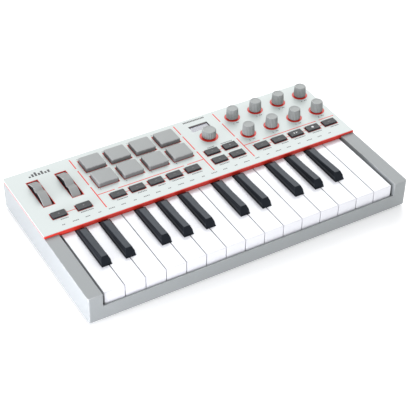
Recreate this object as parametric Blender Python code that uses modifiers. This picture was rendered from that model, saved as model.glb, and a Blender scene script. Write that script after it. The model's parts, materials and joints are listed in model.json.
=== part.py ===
"""A compact desktop music keyboard with pads, knobs, wheels and buttons.

The case is a tray with two hollow cheeks.  The keys clip on a bar behind the key well, and
a carrier plate with a face panel on it closes the bay for the controls behind them.
The origin is on the table, under the middle of the case: +X runs along the keys to the
right, +Y away from the player, and +Z up.
"""

import math

import bmesh
import bpy
from mathutils import Vector

MM = 0.001

# ---- Driving dimensions -------------------------------------------------------------

# Clearances and walls that several pieces share.
JOINT_GAP = 0.3 * MM
WALL = 2.0 * MM
FOOT_HEIGHT = 2.5 * MM
FOOT_RADIUS = 6.5 * MM
FOOT_INSET = 16.0 * MM

# Keys.
WHITE_KEYS = 15
KEY_PITCH = 19.9 * MM
KEY_SPACING = 0.9 * MM
KEY_REACH = 84.55 * MM
KEY_SETBACK = 2.6 * MM
KEY_DEPTH = 14.0 * MM
KEY_DROP = 2.1 * MM
KEY_SIDE_ROOM = 2.15 * MM
KEY_WALL = 1.3 * MM
KEY_TOP_WALL = 2.0 * MM
STEM_WALL = 1.6 * MM
STEM_TOP_WALL = 2.4 * MM
KEY_EDGE = 0.8 * MM
BLACK_WIDTH = 9.1 * MM
BLACK_REACH = 54.45 * MM
BLACK_RISE = 7.5 * MM
BLACK_SHOULDER = 3.7 * MM
BLACK_TAPER = 1.6 * MM
BLACK_NOSE = 4.3 * MM
BLACK_FALL = 2.6 * MM
BLACK_TAIL = 1.7 * MM
BLACK_HEEL = 5.0 * MM
BLACK_ROOM = 0.5 * MM
# How far each black key stands to the right of the gap under it, through one octave.
BLACK_OFFSETS = {1: -1.9 * MM, 2: 1.4 * MM, 4: -2.9 * MM, 5: -0.7 * MM, 6: 2.0 * MM}
WHITES_PER_OCTAVE = 7

# The bar that the keys turn on.
HINGE_SETBACK = 12.35 * MM
HINGE_DROP = 8.0 * MM
HINGE_RADIUS = 1.9 * MM
HINGE_TAIL = 1.5 * MM
HINGE_WEB = 1.6 * MM
HINGE_MOUTH = 3.0 * MM
HINGE_WALL_ROOM = 0.5 * MM
HINGE_BLOCK = 8.5 * MM

# Case.
CHEEK_THICKNESS = 13.95 * MM
CHEEK_HEIGHT = 28.1 * MM
RAIL_HEIGHT = 14.3 * MM
PANEL_DEPTH = 94.85 * MM
PANEL_RISE = 2.3 * MM
CORNER_RADIUS = 2.0 * MM
REAR_ROUNDING = 3.0 * MM

# Face panel and the carrier under it.
FACE_THICKNESS = 1.0 * MM
FACE_BED = 0.2 * MM
FRONT_LIP = 0.8 * MM
FLANGE_THICKNESS = 0.8 * MM
CARRIER_THICKNESS = 2.0 * MM
KEY_SKIRT_ROOM = 0.4 * MM
COLLAR_SINK = 0.05 * MM
COLLAR_ROOM = 0.15 * MM

# Pads: outlines are measured over the carrier's collar.
PAD_COLUMNS = 4
PAD_ROWS = 2
PAD_OUTLINE = (22.3 * MM, 20.7 * MM)
PAD_SPACING = (4.2 * MM, 5.4 * MM)
PAD_RISE = 4.7 * MM
PAD_ROUNDING = 1.2 * MM
PAD_SHEET = 1.2 * MM
PAD_SHEET_BORDER = 1.6 * MM

# Buttons.
BUTTON_OUTLINE = (15.6 * MM, 9.4 * MM)
BUTTON_SPACING = 4.0 * MM
OCTAVE_SPACING = 9.2 * MM
MENU_ROW_SPACING = 4.8 * MM
BUTTON_RISE = 1.8 * MM
BUTTON_ROUNDING = 0.6 * MM
BUTTON_TRAVEL = 0.8 * MM
BUTTON_LIP = 0.9 * MM
BUTTON_LIP_THICKNESS = 1.0 * MM
BUTTON_STEM = 3.0 * MM
RIM = 0.45 * MM
RIM_ROOM = 0.3 * MM

# Knobs on the panel, and the one that is also pressed.
KNOB_COLUMNS = 4
KNOB_ROWS = 2
KNOB_PITCH_X = 26.75 * MM
KNOB_RING = 15.7 * MM
KNOB_BASE = 12.7 * MM
KNOB_TOP = 11.4 * MM
KNOB_RISE = 11.2 * MM
KNOB_LIFT = 0.6 * MM
KNOB_DISH = 0.5 * MM
SHAFT_RADIUS = 3.0 * MM
SHAFT_ROOM = 0.75 * MM
ENCODER_RING = 18.4 * MM
ENCODER_DIAMETER = 14.5 * MM
ENCODER_RISE = 8.6 * MM
ENCODER_TRAVEL = 0.5 * MM
ENCODER_CROWN = 1.8 * MM

# Wheels.
WHEEL_OUTLINE = (11.8 * MM, 40.8 * MM)
WHEEL_PITCH = 28.7 * MM
WHEEL_WIDTH = 8.4 * MM
WHEEL_SHIFT = -0.8 * MM
WHEEL_RADIUS = 29.5 * MM
WHEEL_RISE = 6.3 * MM
WHEEL_SPAN = math.radians(66)
WHEEL_DIMPLE = 2.8 * MM
WHEEL_DIMPLE_SPREAD = math.radians(7)
MOD_WHEEL_LEAN = math.radians(11)
WHEEL_RIM = 9.0 * MM
WHEEL_BOSS = 9.0 * MM
WHEEL_HUB = 3.0 * MM
AXLE_RADIUS = 1.5 * MM
CRADLE_GAP = 0.6 * MM
CRADLE_THICKNESS = 2.0 * MM
CRADLE_HALF = 4.0 * MM
CRADLE_SLOT = 2.6 * MM

# Display.
WINDOW = (21.1 * MM, 10.0 * MM)
SCREEN_BORDER = 0.4 * MM
SCREEN_BASE_BORDER = 2.6 * MM

# Boards.
BOARD_DROP = 9.5 * MM
BOARD_THICKNESS = 1.6 * MM
BOARD_ROOM = 1.0 * MM
SWITCH_SIZE = 6.0 * MM
SWITCH_HEIGHT = 1.4 * MM
SENSOR_SIZE = 11.6 * MM
SENSOR_HEIGHT = 5.5 * MM
SENSOR_FLOOR = 0.8 * MM
POST_RADIUS = 3.0 * MM

# Sockets in the rear wall, measured from the middle of the case.
SOCKET_BOARD = (62.0 * MM, 30.0 * MM)
SOCKET_BOARD_LIFT = 3.0 * MM
SOCKET_CENTRE = 75.0 * MM
SOCKET_PITCH = 30.0 * MM
USB_BODY = (12.0 * MM, 16.0 * MM, 11.0 * MM)
USB_MOUTH = (8.5 * MM, 12.0 * MM, 7.8 * MM)
JACK_BODY = (12.0 * MM, 26.0 * MM, 11.0 * MM)
JACK_RADIUS = 3.3 * MM
JACK_BORE = 22.0 * MM
JACK_COLLAR = 4.6 * MM
SOCKET_ROOM = 0.4 * MM

# The spare width of the panel goes to its two margins and the gaps between its columns,
# and the spare depth of each column to the gaps before, inside and behind it.
COLUMN_SHARES = (0.285, 0.265, 0.176, 0.192, 0.082)
BUTTON_ROW_SETBACK = 17.9 * MM
PAD_SHARES = (0.573, 0.427)
MENU_SHARES = (0.377, 0.156, 0.467)
KNOB_SHARES = (0.308, 0.412, 0.280)
WHEEL_SHARES = (0.395, 0.605)

# Roundness of turned pieces, bores and wheels.
ROUND_SIDES = 20
BORE_SIDES = 16
SMALL_SIDES = 12
TREAD_STEPS = 24
HUB_STEPS = 8
SHARP_ANGLE = math.radians(35)
MERGE_DISTANCE = 0.0001 * MM

# ---- Planes and places that follow from them ----------------------------------------

KEY_BLOCK = WHITE_KEYS * KEY_PITCH
WELL_WIDTH = KEY_BLOCK + 2 * KEY_SIDE_ROOM
CASE_WIDTH = WELL_WIDTH + 2 * CHEEK_THICKNESS
CASE_DEPTH = KEY_SETBACK + KEY_REACH + PANEL_DEPTH

FRONT = -CASE_DEPTH / 2
REAR = CASE_DEPTH / 2
KEY_FRONT = FRONT + KEY_SETBACK
PANEL_FRONT = KEY_FRONT + KEY_REACH
RAIL_WALL = KEY_SETBACK - 2 * JOINT_GAP

CASE_BOTTOM = FOOT_HEIGHT
FLOOR_TOP = CASE_BOTTOM + WALL
CHEEK_TOP = CASE_BOTTOM + CHEEK_HEIGHT
PANEL_TOP = CHEEK_TOP + PANEL_RISE
FACE_BOTTOM = PANEL_TOP - FACE_THICKNESS
CARRIER_TOP = FACE_BOTTOM - FACE_BED
CARRIER_BOTTOM = CARRIER_TOP - CARRIER_THICKNESS
KEY_TOP = CHEEK_TOP - KEY_DROP
KEY_BOTTOM = KEY_TOP - KEY_DEPTH
BOARD_TOP = PANEL_TOP - BOARD_DROP
BOARD_BOTTOM = BOARD_TOP - BOARD_THICKNESS

HINGE_Y = PANEL_FRONT + HINGE_SETBACK
HINGE_Z = KEY_TOP - HINGE_DROP
KEY_REAR = HINGE_Y + HINGE_TAIL
HINGE_WALL_FRONT = KEY_REAR + HINGE_WALL_ROOM
HINGE_WALL_REAR = HINGE_WALL_FRONT + WALL
BOARD_FRONT = HINGE_WALL_REAR + BOARD_ROOM

ABOVE = 2 * PANEL_TOP


def spread(first, last, blocks, shares):
    """Centres of blocks laid from first to last, with the spare shared between them."""
    spare = (last - first) - sum(blocks)
    centres = []
    place = first
    for block, share in zip(blocks, shares):
        place += spare * share
        centres.append(place + block / 2)
        place += block
    return centres


def row(centre, count, pitch):
    """Places of count pieces at a pitch, around a centre."""
    return [centre + (index - (count - 1) / 2) * pitch for index in range(count)]


COLUMN_WIDTHS = (
    WHEEL_PITCH + WHEEL_OUTLINE[0],
    PAD_COLUMNS * PAD_OUTLINE[0] + (PAD_COLUMNS - 1) * PAD_SPACING[0],
    2 * BUTTON_OUTLINE[0] + BUTTON_SPACING,
    (KNOB_COLUMNS - 1) * KNOB_PITCH_X + KNOB_RING,
)
WHEELS_X, PADS_X, MENU_X, KNOBS_X = spread(
    -CASE_WIDTH / 2, CASE_WIDTH / 2, COLUMN_WIDTHS, COLUMN_SHARES)

BUTTON_ROW_Y = PANEL_FRONT + BUTTON_ROW_SETBACK + BUTTON_OUTLINE[1] / 2
CONTROLS_FRONT = BUTTON_ROW_Y + BUTTON_OUTLINE[1] / 2
BUTTON_PITCH = BUTTON_OUTLINE[0] + BUTTON_SPACING
MENU_ROW_Y = BUTTON_ROW_Y + BUTTON_OUTLINE[1] + MENU_ROW_SPACING

PAD_PITCH = [PAD_OUTLINE[axis] + PAD_SPACING[axis] for axis in (0, 1)]
PAD_FIELD = (PAD_ROWS - 1) * PAD_PITCH[1] + PAD_OUTLINE[1]
PADS_Y = spread(CONTROLS_FRONT, REAR, [PAD_FIELD], PAD_SHARES)[0]
ENCODER_Y, WINDOW_Y = spread(
    MENU_ROW_Y + BUTTON_OUTLINE[1] / 2, REAR, [ENCODER_RING, WINDOW[1]], MENU_SHARES)
KNOB_ROWS_Y = spread(CONTROLS_FRONT, REAR, [KNOB_RING] * KNOB_ROWS, KNOB_SHARES)
WHEELS_Y = spread(CONTROLS_FRONT, REAR, [WHEEL_OUTLINE[1]], WHEEL_SHARES)[0]

WHEEL_AXLE_Z = PANEL_TOP + WHEEL_RISE - WHEEL_RADIUS
WHEEL_SLOTS = row(WHEELS_X, 2, WHEEL_PITCH)
WHEEL_CENTRES = [x + WHEEL_SHIFT for x in WHEEL_SLOTS]
PAD_CENTRES = [
    (x, y)
    for y in row(PADS_Y, PAD_ROWS, PAD_PITCH[1])
    for x in row(PADS_X, PAD_COLUMNS, PAD_PITCH[0])
]
KNOB_CENTRES = [
    (x, y)
    for y in reversed(KNOB_ROWS_Y)
    for x in row(KNOBS_X, KNOB_COLUMNS, KNOB_PITCH_X)
]


def button_places():
    """Name and centre of every button."""
    octave_x = row(WHEELS_X, 2, BUTTON_OUTLINE[0] + OCTAVE_SPACING)
    places = {
        "octave_down_button": (octave_x[0], BUTTON_ROW_Y),
        "octave_up_button": (octave_x[1], BUTTON_ROW_Y),
    }
    for index, x in enumerate(row(PADS_X, 5, BUTTON_PITCH), 1):
        places[f"pad_button_{index}"] = (x, BUTTON_ROW_Y)
    menu_x = row(MENU_X, 2, BUTTON_PITCH)
    places["menu_button_1"] = (menu_x[0], MENU_ROW_Y)
    places["menu_button_2"] = (menu_x[1], MENU_ROW_Y)
    places["menu_button_3"] = (menu_x[0], BUTTON_ROW_Y)
    places["menu_button_4"] = (menu_x[1], BUTTON_ROW_Y)
    for index, x in enumerate(row(KNOBS_X, 5, BUTTON_PITCH), 1):
        places[f"transport_button_{index}"] = (x, BUTTON_ROW_Y)
    return places


BUTTONS = button_places()

# ---- Scene --------------------------------------------------------------------------

for leftover in list(bpy.data.objects):
    bpy.data.objects.remove(leftover)

PARTS = bpy.data.collections.new("midi_keyboard")
CUTTERS = bpy.data.collections.new("cutters")
for collection in (PARTS, CUTTERS):
    bpy.context.scene.collection.children.link(collection)


def material(name, colour, roughness, metallic=0.0):
    """A plain finish for the parts of one kind."""
    made = bpy.data.materials.new(name)
    made.use_nodes = True
    shader = made.node_tree.nodes["Principled BSDF"]
    shader.inputs["Base Color"].default_value = (*colour, 1.0)
    shader.inputs["Roughness"].default_value = roughness
    shader.inputs["Metallic"].default_value = metallic
    return made


CASE_GREY = material("case_grey", (0.36, 0.36, 0.36), 0.5)
PANEL_WHITE = material("panel_white", (0.84, 0.87, 0.86), 0.45)
CARRIER_RED = material("carrier_red", (0.75, 0.07, 0.03), 0.4)
KEY_WHITE = material("key_white", (0.88, 0.89, 0.92), 0.25)
KEY_BLACK = material("key_black", (0.035, 0.037, 0.042), 0.4)
PAD_GREY = material("pad_grey", (0.42, 0.42, 0.39), 0.7)
BUTTON_GREY = material("button_grey", (0.06, 0.06, 0.07), 0.6)
KNOB_GREY = material("knob_grey", (0.33, 0.32, 0.29), 0.55)
WHEEL_GREY = material("wheel_grey", (0.36, 0.37, 0.35), 0.6)
BOARD_GREEN = material("board_green", (0.03, 0.16, 0.07), 0.5)
SCREEN_GREY = material("screen_grey", (0.38, 0.38, 0.5), 0.15)
SHAFT_STEEL = material("shaft_steel", (0.5, 0.5, 0.5), 0.3, 1.0)


# ---- Modelling helpers --------------------------------------------------------------

def new_object(name, mesh, collection):
    """An object in a collection; anything outside the parts is a hidden cutter."""
    made = bpy.data.objects.new(name, mesh)
    collection.objects.link(made)
    if collection is CUTTERS:
        made.hide_render = True
        made.display_type = "WIRE"
    return made


def mesh_from(build):
    """A mesh filled by a function that is given an empty bmesh."""
    mesh = bpy.data.meshes.new("mesh")
    work = bmesh.new()
    build(work)
    work.to_mesh(mesh)
    work.free()
    return mesh


def grow_box(work, low, high):
    """Add a box between two corners to a bmesh, and return its vertices."""
    low, high = Vector(low), Vector(high)
    verts = bmesh.ops.create_cube(work, size=1.0)["verts"]
    bmesh.ops.scale(work, vec=high - low, verts=verts)
    bmesh.ops.translate(work, vec=(low + high) / 2, verts=verts)
    return verts


def grow_post(work, centre, radius, low, high, sides):
    """Add an upright cylinder to a bmesh."""
    made = bmesh.ops.create_cone(
        work, cap_ends=True, segments=sides, radius1=radius, radius2=radius,
        depth=high - low)
    bmesh.ops.translate(
        work, vec=(centre[0], centre[1], (low + high) / 2), verts=made["verts"])


def boxes(name, corners, collection=CUTTERS):
    """One object of separate boxes, each given by its two corners."""
    def build(work):
        for low, high in corners:
            grow_box(work, low, high)
    return new_object(name, mesh_from(build), collection)


def posts(name, centres, radius, low, high, sides, collection=CUTTERS):
    """One object of upright cylinders that share a radius and a height."""
    def build(work):
        for centre in centres:
            grow_post(work, centre, radius, low, high, sides)
    return new_object(name, mesh_from(build), collection)


def rod(name, centre, radius, length, axis, sides, collection=CUTTERS):
    """A cylinder along X or Y, around its own centre."""
    turn = (0, math.pi / 2, 0) if axis == "X" else (math.pi / 2, 0, 0)
    bpy.ops.mesh.primitive_cylinder_add(
        vertices=sides, radius=radius, depth=length, location=centre, rotation=turn)
    made = bpy.context.object
    made.name = name
    bpy.ops.object.transform_apply(location=True, rotation=True, scale=True)
    for home in made.users_collection:
        home.objects.unlink(made)
    collection.objects.link(made)
    if collection is CUTTERS:
        made.hide_render = True
        made.display_type = "WIRE"
    return made


def combine(target, tool, operation):
    """Join or cut with an exact Boolean that stays on the target."""
    modifier = target.modifiers.new(tool.name, "BOOLEAN")
    modifier.operation = operation
    modifier.solver = "EXACT"
    modifier.object = tool


def cut(target, *tools):
    for tool in tools:
        combine(target, tool, "DIFFERENCE")


def fuse(target, *tools):
    for tool in tools:
        combine(target, tool, "UNION")


def bevel_edges(target, width, segments, chosen):
    """Round the edges of a mesh that a test picks by their two ends."""
    work = bmesh.new()
    work.from_mesh(target.data)
    edges = [edge for edge in work.edges if chosen(*(vert.co for vert in edge.verts))]
    bmesh.ops.bevel(
        work, geom=edges, offset=width, segments=segments, profile=0.5, affect="EDGES",
        clamp_overlap=True)
    work.to_mesh(target.data)
    work.free()


def upright(start, end):
    """Whether an edge stands upright."""
    return abs(start.x - end.x) < JOINT_GAP / 10 and abs(start.y - end.y) < JOINT_GAP / 10


def finish(target, finish_material, origin=(0, 0, 0)):
    """Give a part its finish, and set its origin on its joint's axis."""
    target.data.materials.append(finish_material)
    for vert in target.data.vertices:
        vert.co -= Vector(origin)
    target.location = origin


def shade_round(target):
    """Smooth shading that keeps a piece's own edges sharp."""
    target.data.shade_smooth()
    target.data.set_sharp_from_angle(angle=SHARP_ANGLE)


def rectangle(centre, size, low, high, grow=0.0):
    """The corners of an upright box around a centre, grown on its four sides."""
    half = [side / 2 + grow for side in size]
    return (
        (centre[0] - half[0], centre[1] - half[1], low),
        (centre[0] + half[0], centre[1] + half[1], high),
    )


def turned(name, profile, centre, sides, finish_material):
    """A turned solid: a profile from the axis at the top, down the outside, to the axis."""
    def build(work):
        verts = [work.verts.new((radius, 0, height)) for radius, height in profile]
        for start, end in zip(verts, verts[1:]):
            work.edges.new((start, end))
    made = new_object(name, mesh_from(build), PARTS)
    screw = made.modifiers.new("turn", "SCREW")
    screw.steps = sides
    screw.render_steps = sides
    screw.use_merge_vertices = True
    screw.merge_threshold = MERGE_DISTANCE
    evaluated = made.evaluated_get(bpy.context.evaluated_depsgraph_get())
    made.data = bpy.data.meshes.new_from_object(evaluated)
    made.modifiers.clear()
    shade_round(made)
    made.data.materials.append(finish_material)
    made.location = centre


# ---- Keys ---------------------------------------------------------------------------

def gap_x(index):
    """The line between two white keys, counted from the left end of the keys."""
    return -KEY_BLOCK / 2 + index * KEY_PITCH


def black_centre(gap):
    """The middle of the black key over a gap, or None where there is none."""
    offset = BLACK_OFFSETS.get(gap % WHITES_PER_OCTAVE)
    if offset is None or not 0 < gap < WHITE_KEYS - 1:
        return None
    return gap_x(gap) + offset


BLACK_GAPS = [gap for gap in range(WHITE_KEYS) if black_centre(gap) is not None]
BLACK_FRONT = PANEL_FRONT - BLACK_REACH


def clip_on_hinge(key, left, right):
    """Cut the clip that a key's tail holds the hinge bar with, open to the rear."""
    middle = (left + right) / 2
    span = right - left + 2 * KEY_SPACING
    bore = rod(f"{key.name}_bore", (middle, HINGE_Y, HINGE_Z), HINGE_RADIUS + JOINT_GAP,
               span, "X", SMALL_SIDES)
    mouth = boxes(f"{key.name}_mouth", [(
        (middle - span, HINGE_Y, HINGE_Z - HINGE_MOUTH / 2),
        (middle + span, KEY_REAR + HINGE_TAIL, HINGE_Z + HINGE_MOUTH / 2))])
    cut(key, bore, mouth)


def white_key(index):
    """A hollow white key, notched where its black neighbours stand."""
    name = f"white_key_{index + 1:02d}"
    left = gap_x(index) + KEY_SPACING / 2
    right = gap_x(index + 1) - KEY_SPACING / 2
    stem_left, stem_right = left, right
    half = BLACK_WIDTH / 2 + BLACK_ROOM
    if black_centre(index) is not None:
        stem_left = black_centre(index) + half
    if black_centre(index + 1) is not None:
        stem_right = black_centre(index + 1) - half
    key = boxes(name, [((left, KEY_FRONT, KEY_BOTTOM), (right, KEY_REAR, KEY_TOP))], PARTS)

    bevel_edges(
        key, KEY_EDGE, 2,
        lambda start, end: min(start.z, end.z) > KEY_TOP - KEY_EDGE
        and max(start.y, end.y) < KEY_FRONT + KEY_EDGE)
    notch_front = BLACK_FRONT - BLACK_ROOM
    if stem_left > left:
        cut(key, boxes(f"{name}_left_notch", [(
            (left - KEY_PITCH / 4, notch_front, KEY_BOTTOM - KEY_WALL),
            (stem_left, KEY_REAR + KEY_WALL, KEY_TOP + KEY_WALL))]))
    if stem_right < right:
        cut(key, boxes(f"{name}_right_notch", [(
            (stem_right, notch_front, KEY_BOTTOM - KEY_WALL),
            (right + KEY_PITCH / 4, KEY_REAR + KEY_WALL, KEY_TOP + KEY_WALL))]))
    hollow_low = KEY_BOTTOM - KEY_WALL
    cut(key, boxes(f"{name}_hollow", [(
        (left + KEY_WALL, KEY_FRONT + KEY_WALL, hollow_low),
        (right - KEY_WALL, notch_front - KEY_WALL, KEY_TOP - KEY_TOP_WALL))]))
    cut(key, boxes(f"{name}_stem_hollow", [(
        (stem_left + STEM_WALL, notch_front - 2 * KEY_WALL, hollow_low - KEY_WALL),
        (stem_right - STEM_WALL, KEY_REAR - HINGE_BLOCK, KEY_TOP - STEM_TOP_WALL))]))
    clip_on_hinge(key, stem_left, stem_right)
    finish(key, KEY_WHITE, ((left + right) / 2, HINGE_Y, HINGE_Z))


def black_key(number, gap):
    """A hollow black key with a sloping nose, leaning sides and a falling top."""
    name = f"black_key_{number:02d}"
    centre = black_centre(gap)
    half = BLACK_WIDTH / 2
    heel = PANEL_FRONT - BLACK_TAIL

    def build(work):
        grow_box(work, (centre - half, BLACK_FRONT, KEY_BOTTOM),
                 (centre + half, heel, KEY_TOP))
        top = max(work.faces, key=lambda face: face.calc_center_median().z)
        rings = (
            (KEY_TOP + BLACK_SHOULDER, 0.0, BLACK_NOSE * BLACK_SHOULDER / BLACK_RISE,
             BLACK_HEEL / 2, 0.0),
            (KEY_TOP + BLACK_RISE, BLACK_TAPER, BLACK_NOSE, BLACK_HEEL, BLACK_FALL),
        )
        for height, side, nose, tail, fall in rings:
            top = bmesh.ops.extrude_face_region(work, geom=[top])["geom"]
            top = next(part for part in top if isinstance(part, bmesh.types.BMFace))
            for vert in top.verts:
                in_front = vert.co.y < (BLACK_FRONT + heel) / 2
                outwards = 1 if vert.co.x > centre else -1
                vert.co.x = centre + outwards * (half - side)
                vert.co.y = BLACK_FRONT + nose if in_front else heel - tail
                vert.co.z = height if in_front else height - fall
        # Extruding leaves the covered faces inside, so only the outer shell is kept.
        inner = [face for face in work.faces
                 if all(len(edge.link_faces) > 2 for edge in face.edges)]
        bmesh.ops.delete(work, geom=inner, context="FACES_ONLY")
        bmesh.ops.recalc_face_normals(work, faces=work.faces)

    key = new_object(name, mesh_from(build), PARTS)
    stem = boxes(f"{name}_stem", [(
        (centre - half, heel - KEY_WALL, KEY_BOTTOM),
        (centre + half, KEY_REAR, KEY_TOP - JOINT_GAP / 2))])
    fuse(key, stem)
    cut(key, boxes(f"{name}_hollow", [(
        (centre - half + KEY_WALL, BLACK_FRONT + KEY_WALL, KEY_BOTTOM - KEY_WALL),
        (centre + half - KEY_WALL, KEY_REAR - HINGE_BLOCK, KEY_TOP - KEY_TOP_WALL))]))
    clip_on_hinge(key, centre - half, centre + half)
    finish(key, KEY_BLACK, (centre, HINGE_Y, HINGE_Z))


# ---- Case ---------------------------------------------------------------------------

def foot_centres():
    """Where the four feet stand."""
    x = CASE_WIDTH / 2 - FOOT_INSET
    y = CASE_DEPTH / 2 - FOOT_INSET
    return [(side * x, end * y) for side in (-1, 1) for end in (-1, 1)]


def post_centres():
    """Where posts carry the control board, clear of the wheels and the sockets."""
    left = PADS_X - COLUMN_WIDTHS[1] / 2 + POST_RADIUS
    right = CASE_WIDTH / 2 - WALL - BOARD_ROOM - 2 * POST_RADIUS
    front = BOARD_FRONT + 2 * POST_RADIUS
    middle = (front + REAR) / 2 - SOCKET_BOARD[1] / 2
    return [(x, y) for x in (left, PADS_X + COLUMN_WIDTHS[1] / 2, right)
            for y in (front, middle)]


def bottom_case():
    """The tray: floor, walls, hollow cheeks, front rail, hinge bar, cradles and posts."""
    half = CASE_WIDTH / 2
    well = WELL_WIDTH / 2
    tray = boxes("bottom_case", [((-half, FRONT, CASE_BOTTOM), (half, REAR, CHEEK_TOP))],
                 PARTS)
    bevel_edges(tray, CORNER_RADIUS, 2, upright)
    bevel_edges(
        tray, REAR_ROUNDING, 2,
        lambda start, end: min(start.y, end.y) > REAR - CORNER_RADIUS / 10
        and max(start.z, end.z) < CASE_BOTTOM + CORNER_RADIUS / 10)
    cut(tray, boxes("key_well", [
        ((-well, FRONT + RAIL_WALL, FLOOR_TOP), (well, REAR - WALL, ABOVE))]))
    cut(tray, boxes("rail_top", [
        ((-well, FRONT - WALL, CASE_BOTTOM + RAIL_HEIGHT), (well, KEY_FRONT, ABOVE))]))
    cut(tray, boxes("control_bay", [
        ((-half + WALL, PANEL_FRONT + WALL, FLOOR_TOP), (half - WALL, REAR - WALL, ABOVE))]))
    cut(tray, boxes("cheek_hollows", [
        ((-half + WALL, FRONT + WALL, FLOOR_TOP),
         (-well - WALL, PANEL_FRONT + 2 * WALL, CHEEK_TOP - WALL)),
        ((well + WALL, FRONT + WALL, FLOOR_TOP),
         (half - WALL, PANEL_FRONT + 2 * WALL, CHEEK_TOP - WALL))]))

    bar_half = well - JOINT_GAP
    fuse(tray, boxes("hinge_wall", [
        ((-bar_half, HINGE_WALL_FRONT, CASE_BOTTOM + WALL / 2),
         (bar_half, HINGE_WALL_REAR, HINGE_Z + HINGE_WEB))]))
    fuse(tray, boxes("hinge_web", [
        ((-bar_half + KEY_SPACING, HINGE_Y, HINGE_Z - HINGE_WEB / 2),
         (bar_half - KEY_SPACING, HINGE_WALL_FRONT + WALL / 2, HINGE_Z + HINGE_WEB / 2))]))
    fuse(tray, rod("hinge_bar", (0, HINGE_Y, HINGE_Z), HINGE_RADIUS,
                   2 * (bar_half - 2 * KEY_SPACING), "X", SMALL_SIDES))

    cradle = WHEEL_WIDTH / 2 + CRADLE_GAP
    cheeks = [(x + side * (cradle + CRADLE_THICKNESS / 2), WHEELS_Y)
              for x in WHEEL_CENTRES for side in (-1, 1)]
    cradle_size = (CRADLE_THICKNESS, 2 * CRADLE_HALF)
    fuse(tray, boxes("wheel_cradles", [
        rectangle(centre, cradle_size, CASE_BOTTOM + WALL / 2, WHEEL_AXLE_Z + CRADLE_HALF)
        for centre in cheeks]))
    for number, x in enumerate(WHEEL_CENTRES, 1):
        cut(tray, rod(f"axle_hole_{number}", (x, WHEELS_Y, WHEEL_AXLE_Z),
                      AXLE_RADIUS + JOINT_GAP, 2 * (cradle + 2 * CRADLE_THICKNESS), "X",
                      BORE_SIDES))
    cut(tray, boxes("cradle_slots", [
        rectangle(centre, (2 * CRADLE_THICKNESS, CRADLE_SLOT), WHEEL_AXLE_Z, ABOVE)
        for centre in cheeks]))

    fuse(tray, posts("board_posts", post_centres(), POST_RADIUS, CASE_BOTTOM + WALL / 2,
                     BOARD_BOTTOM - JOINT_GAP, SMALL_SIDES))
    fuse(tray, posts("feet", foot_centres(), FOOT_RADIUS, 0.0, CASE_BOTTOM + WALL / 2,
                     ROUND_SIDES))

    usb, jack = socket_places()
    cut(tray, boxes("usb_hole", [(
        (usb - USB_BODY[0] / 2 - SOCKET_ROOM, REAR - 2 * WALL, USB_Z[0] - SOCKET_ROOM),
        (usb + USB_BODY[0] / 2 + SOCKET_ROOM, REAR + WALL, USB_Z[1] + SOCKET_ROOM))]))
    cut(tray, rod("jack_hole", (jack, REAR, JACK_Z), JACK_COLLAR + SOCKET_ROOM, 4 * WALL,
                  "Y", BORE_SIDES))
    finish(tray, CASE_GREY)


# ---- Carrier and face panel ---------------------------------------------------------

def collar_rectangles():
    """Centre and outer size of each square-cornered collar."""
    frames = [(centre, BUTTON_OUTLINE) for centre in BUTTONS.values()]
    frames += [(centre, PAD_OUTLINE) for centre in PAD_CENTRES]
    frames += [((x, WHEELS_Y), WHEEL_OUTLINE) for x in WHEEL_SLOTS]
    return frames


def top_case():
    """The carrier: a plate with a front lip, a skirt and a collar at each control."""
    half = CASE_WIDTH / 2
    flange_low = CARRIER_TOP - FLANGE_THICKNESS
    mid = CARRIER_TOP - FLANGE_THICKNESS / 2
    plate = boxes("top_case", [((-half, PANEL_FRONT, flange_low), (half, REAR, CARRIER_TOP))],
                  PARTS)
    bevel_edges(plate, CORNER_RADIUS, 2,
                lambda start, end: upright(start, end) and start.y > 0)
    inner = half - WALL - JOINT_GAP
    fuse(plate, boxes("inner_plate", [
        ((-inner, PANEL_FRONT + WALL + JOINT_GAP, CARRIER_BOTTOM),
         (inner, REAR - WALL - JOINT_GAP, mid))]))
    skirt = WELL_WIDTH / 2 - JOINT_GAP
    fuse(plate, boxes("front_skirt", [
        ((-skirt, PANEL_FRONT, KEY_TOP + KEY_SKIRT_ROOM),
         (skirt, PANEL_FRONT + WALL + 2 * JOINT_GAP, mid - JOINT_GAP / 2))]))

    collar_top = PANEL_TOP - COLLAR_SINK
    fuse(plate, boxes("front_lip", [
        ((-half, PANEL_FRONT, mid), (half, PANEL_FRONT + FRONT_LIP, collar_top))]))
    fuse(plate, boxes("collars", [
        rectangle(centre, size, mid, collar_top) for centre, size in collar_rectangles()]))
    fuse(plate, posts("knob_collars", KNOB_CENTRES, KNOB_RING / 2, mid, collar_top,
                      ROUND_SIDES))
    encoder = (MENU_X, ENCODER_Y)
    fuse(plate, posts("encoder_collar", [encoder], ENCODER_RING / 2, mid, collar_top,
                      ROUND_SIDES))

    low = KEY_TOP
    cut(plate, boxes("control_openings", [
        rectangle(centre, size, low, ABOVE, -RIM) for centre, size in collar_rectangles()]))
    # The wheels are longer below their collars than in them.
    half_chord = math.sqrt(WHEEL_RADIUS ** 2 - (CARRIER_BOTTOM - WHEEL_AXLE_Z) ** 2)
    undercut = (WHEEL_OUTLINE[0] - 2 * RIM, 2 * (half_chord + JOINT_GAP))
    cut(plate, boxes("wheel_undercuts", [
        rectangle((x, WHEELS_Y), undercut, low, CARRIER_TOP) for x in WHEEL_SLOTS]))
    cut(plate, posts("shaft_openings", KNOB_CENTRES + [encoder], SHAFT_RADIUS + SHAFT_ROOM,
                     low, ABOVE, BORE_SIDES))
    cut(plate, boxes("screen_opening", [
        rectangle((MENU_X, WINDOW_Y), WINDOW, low, ABOVE, SCREEN_BORDER + JOINT_GAP)]))
    finish(plate, CARRIER_RED)


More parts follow.
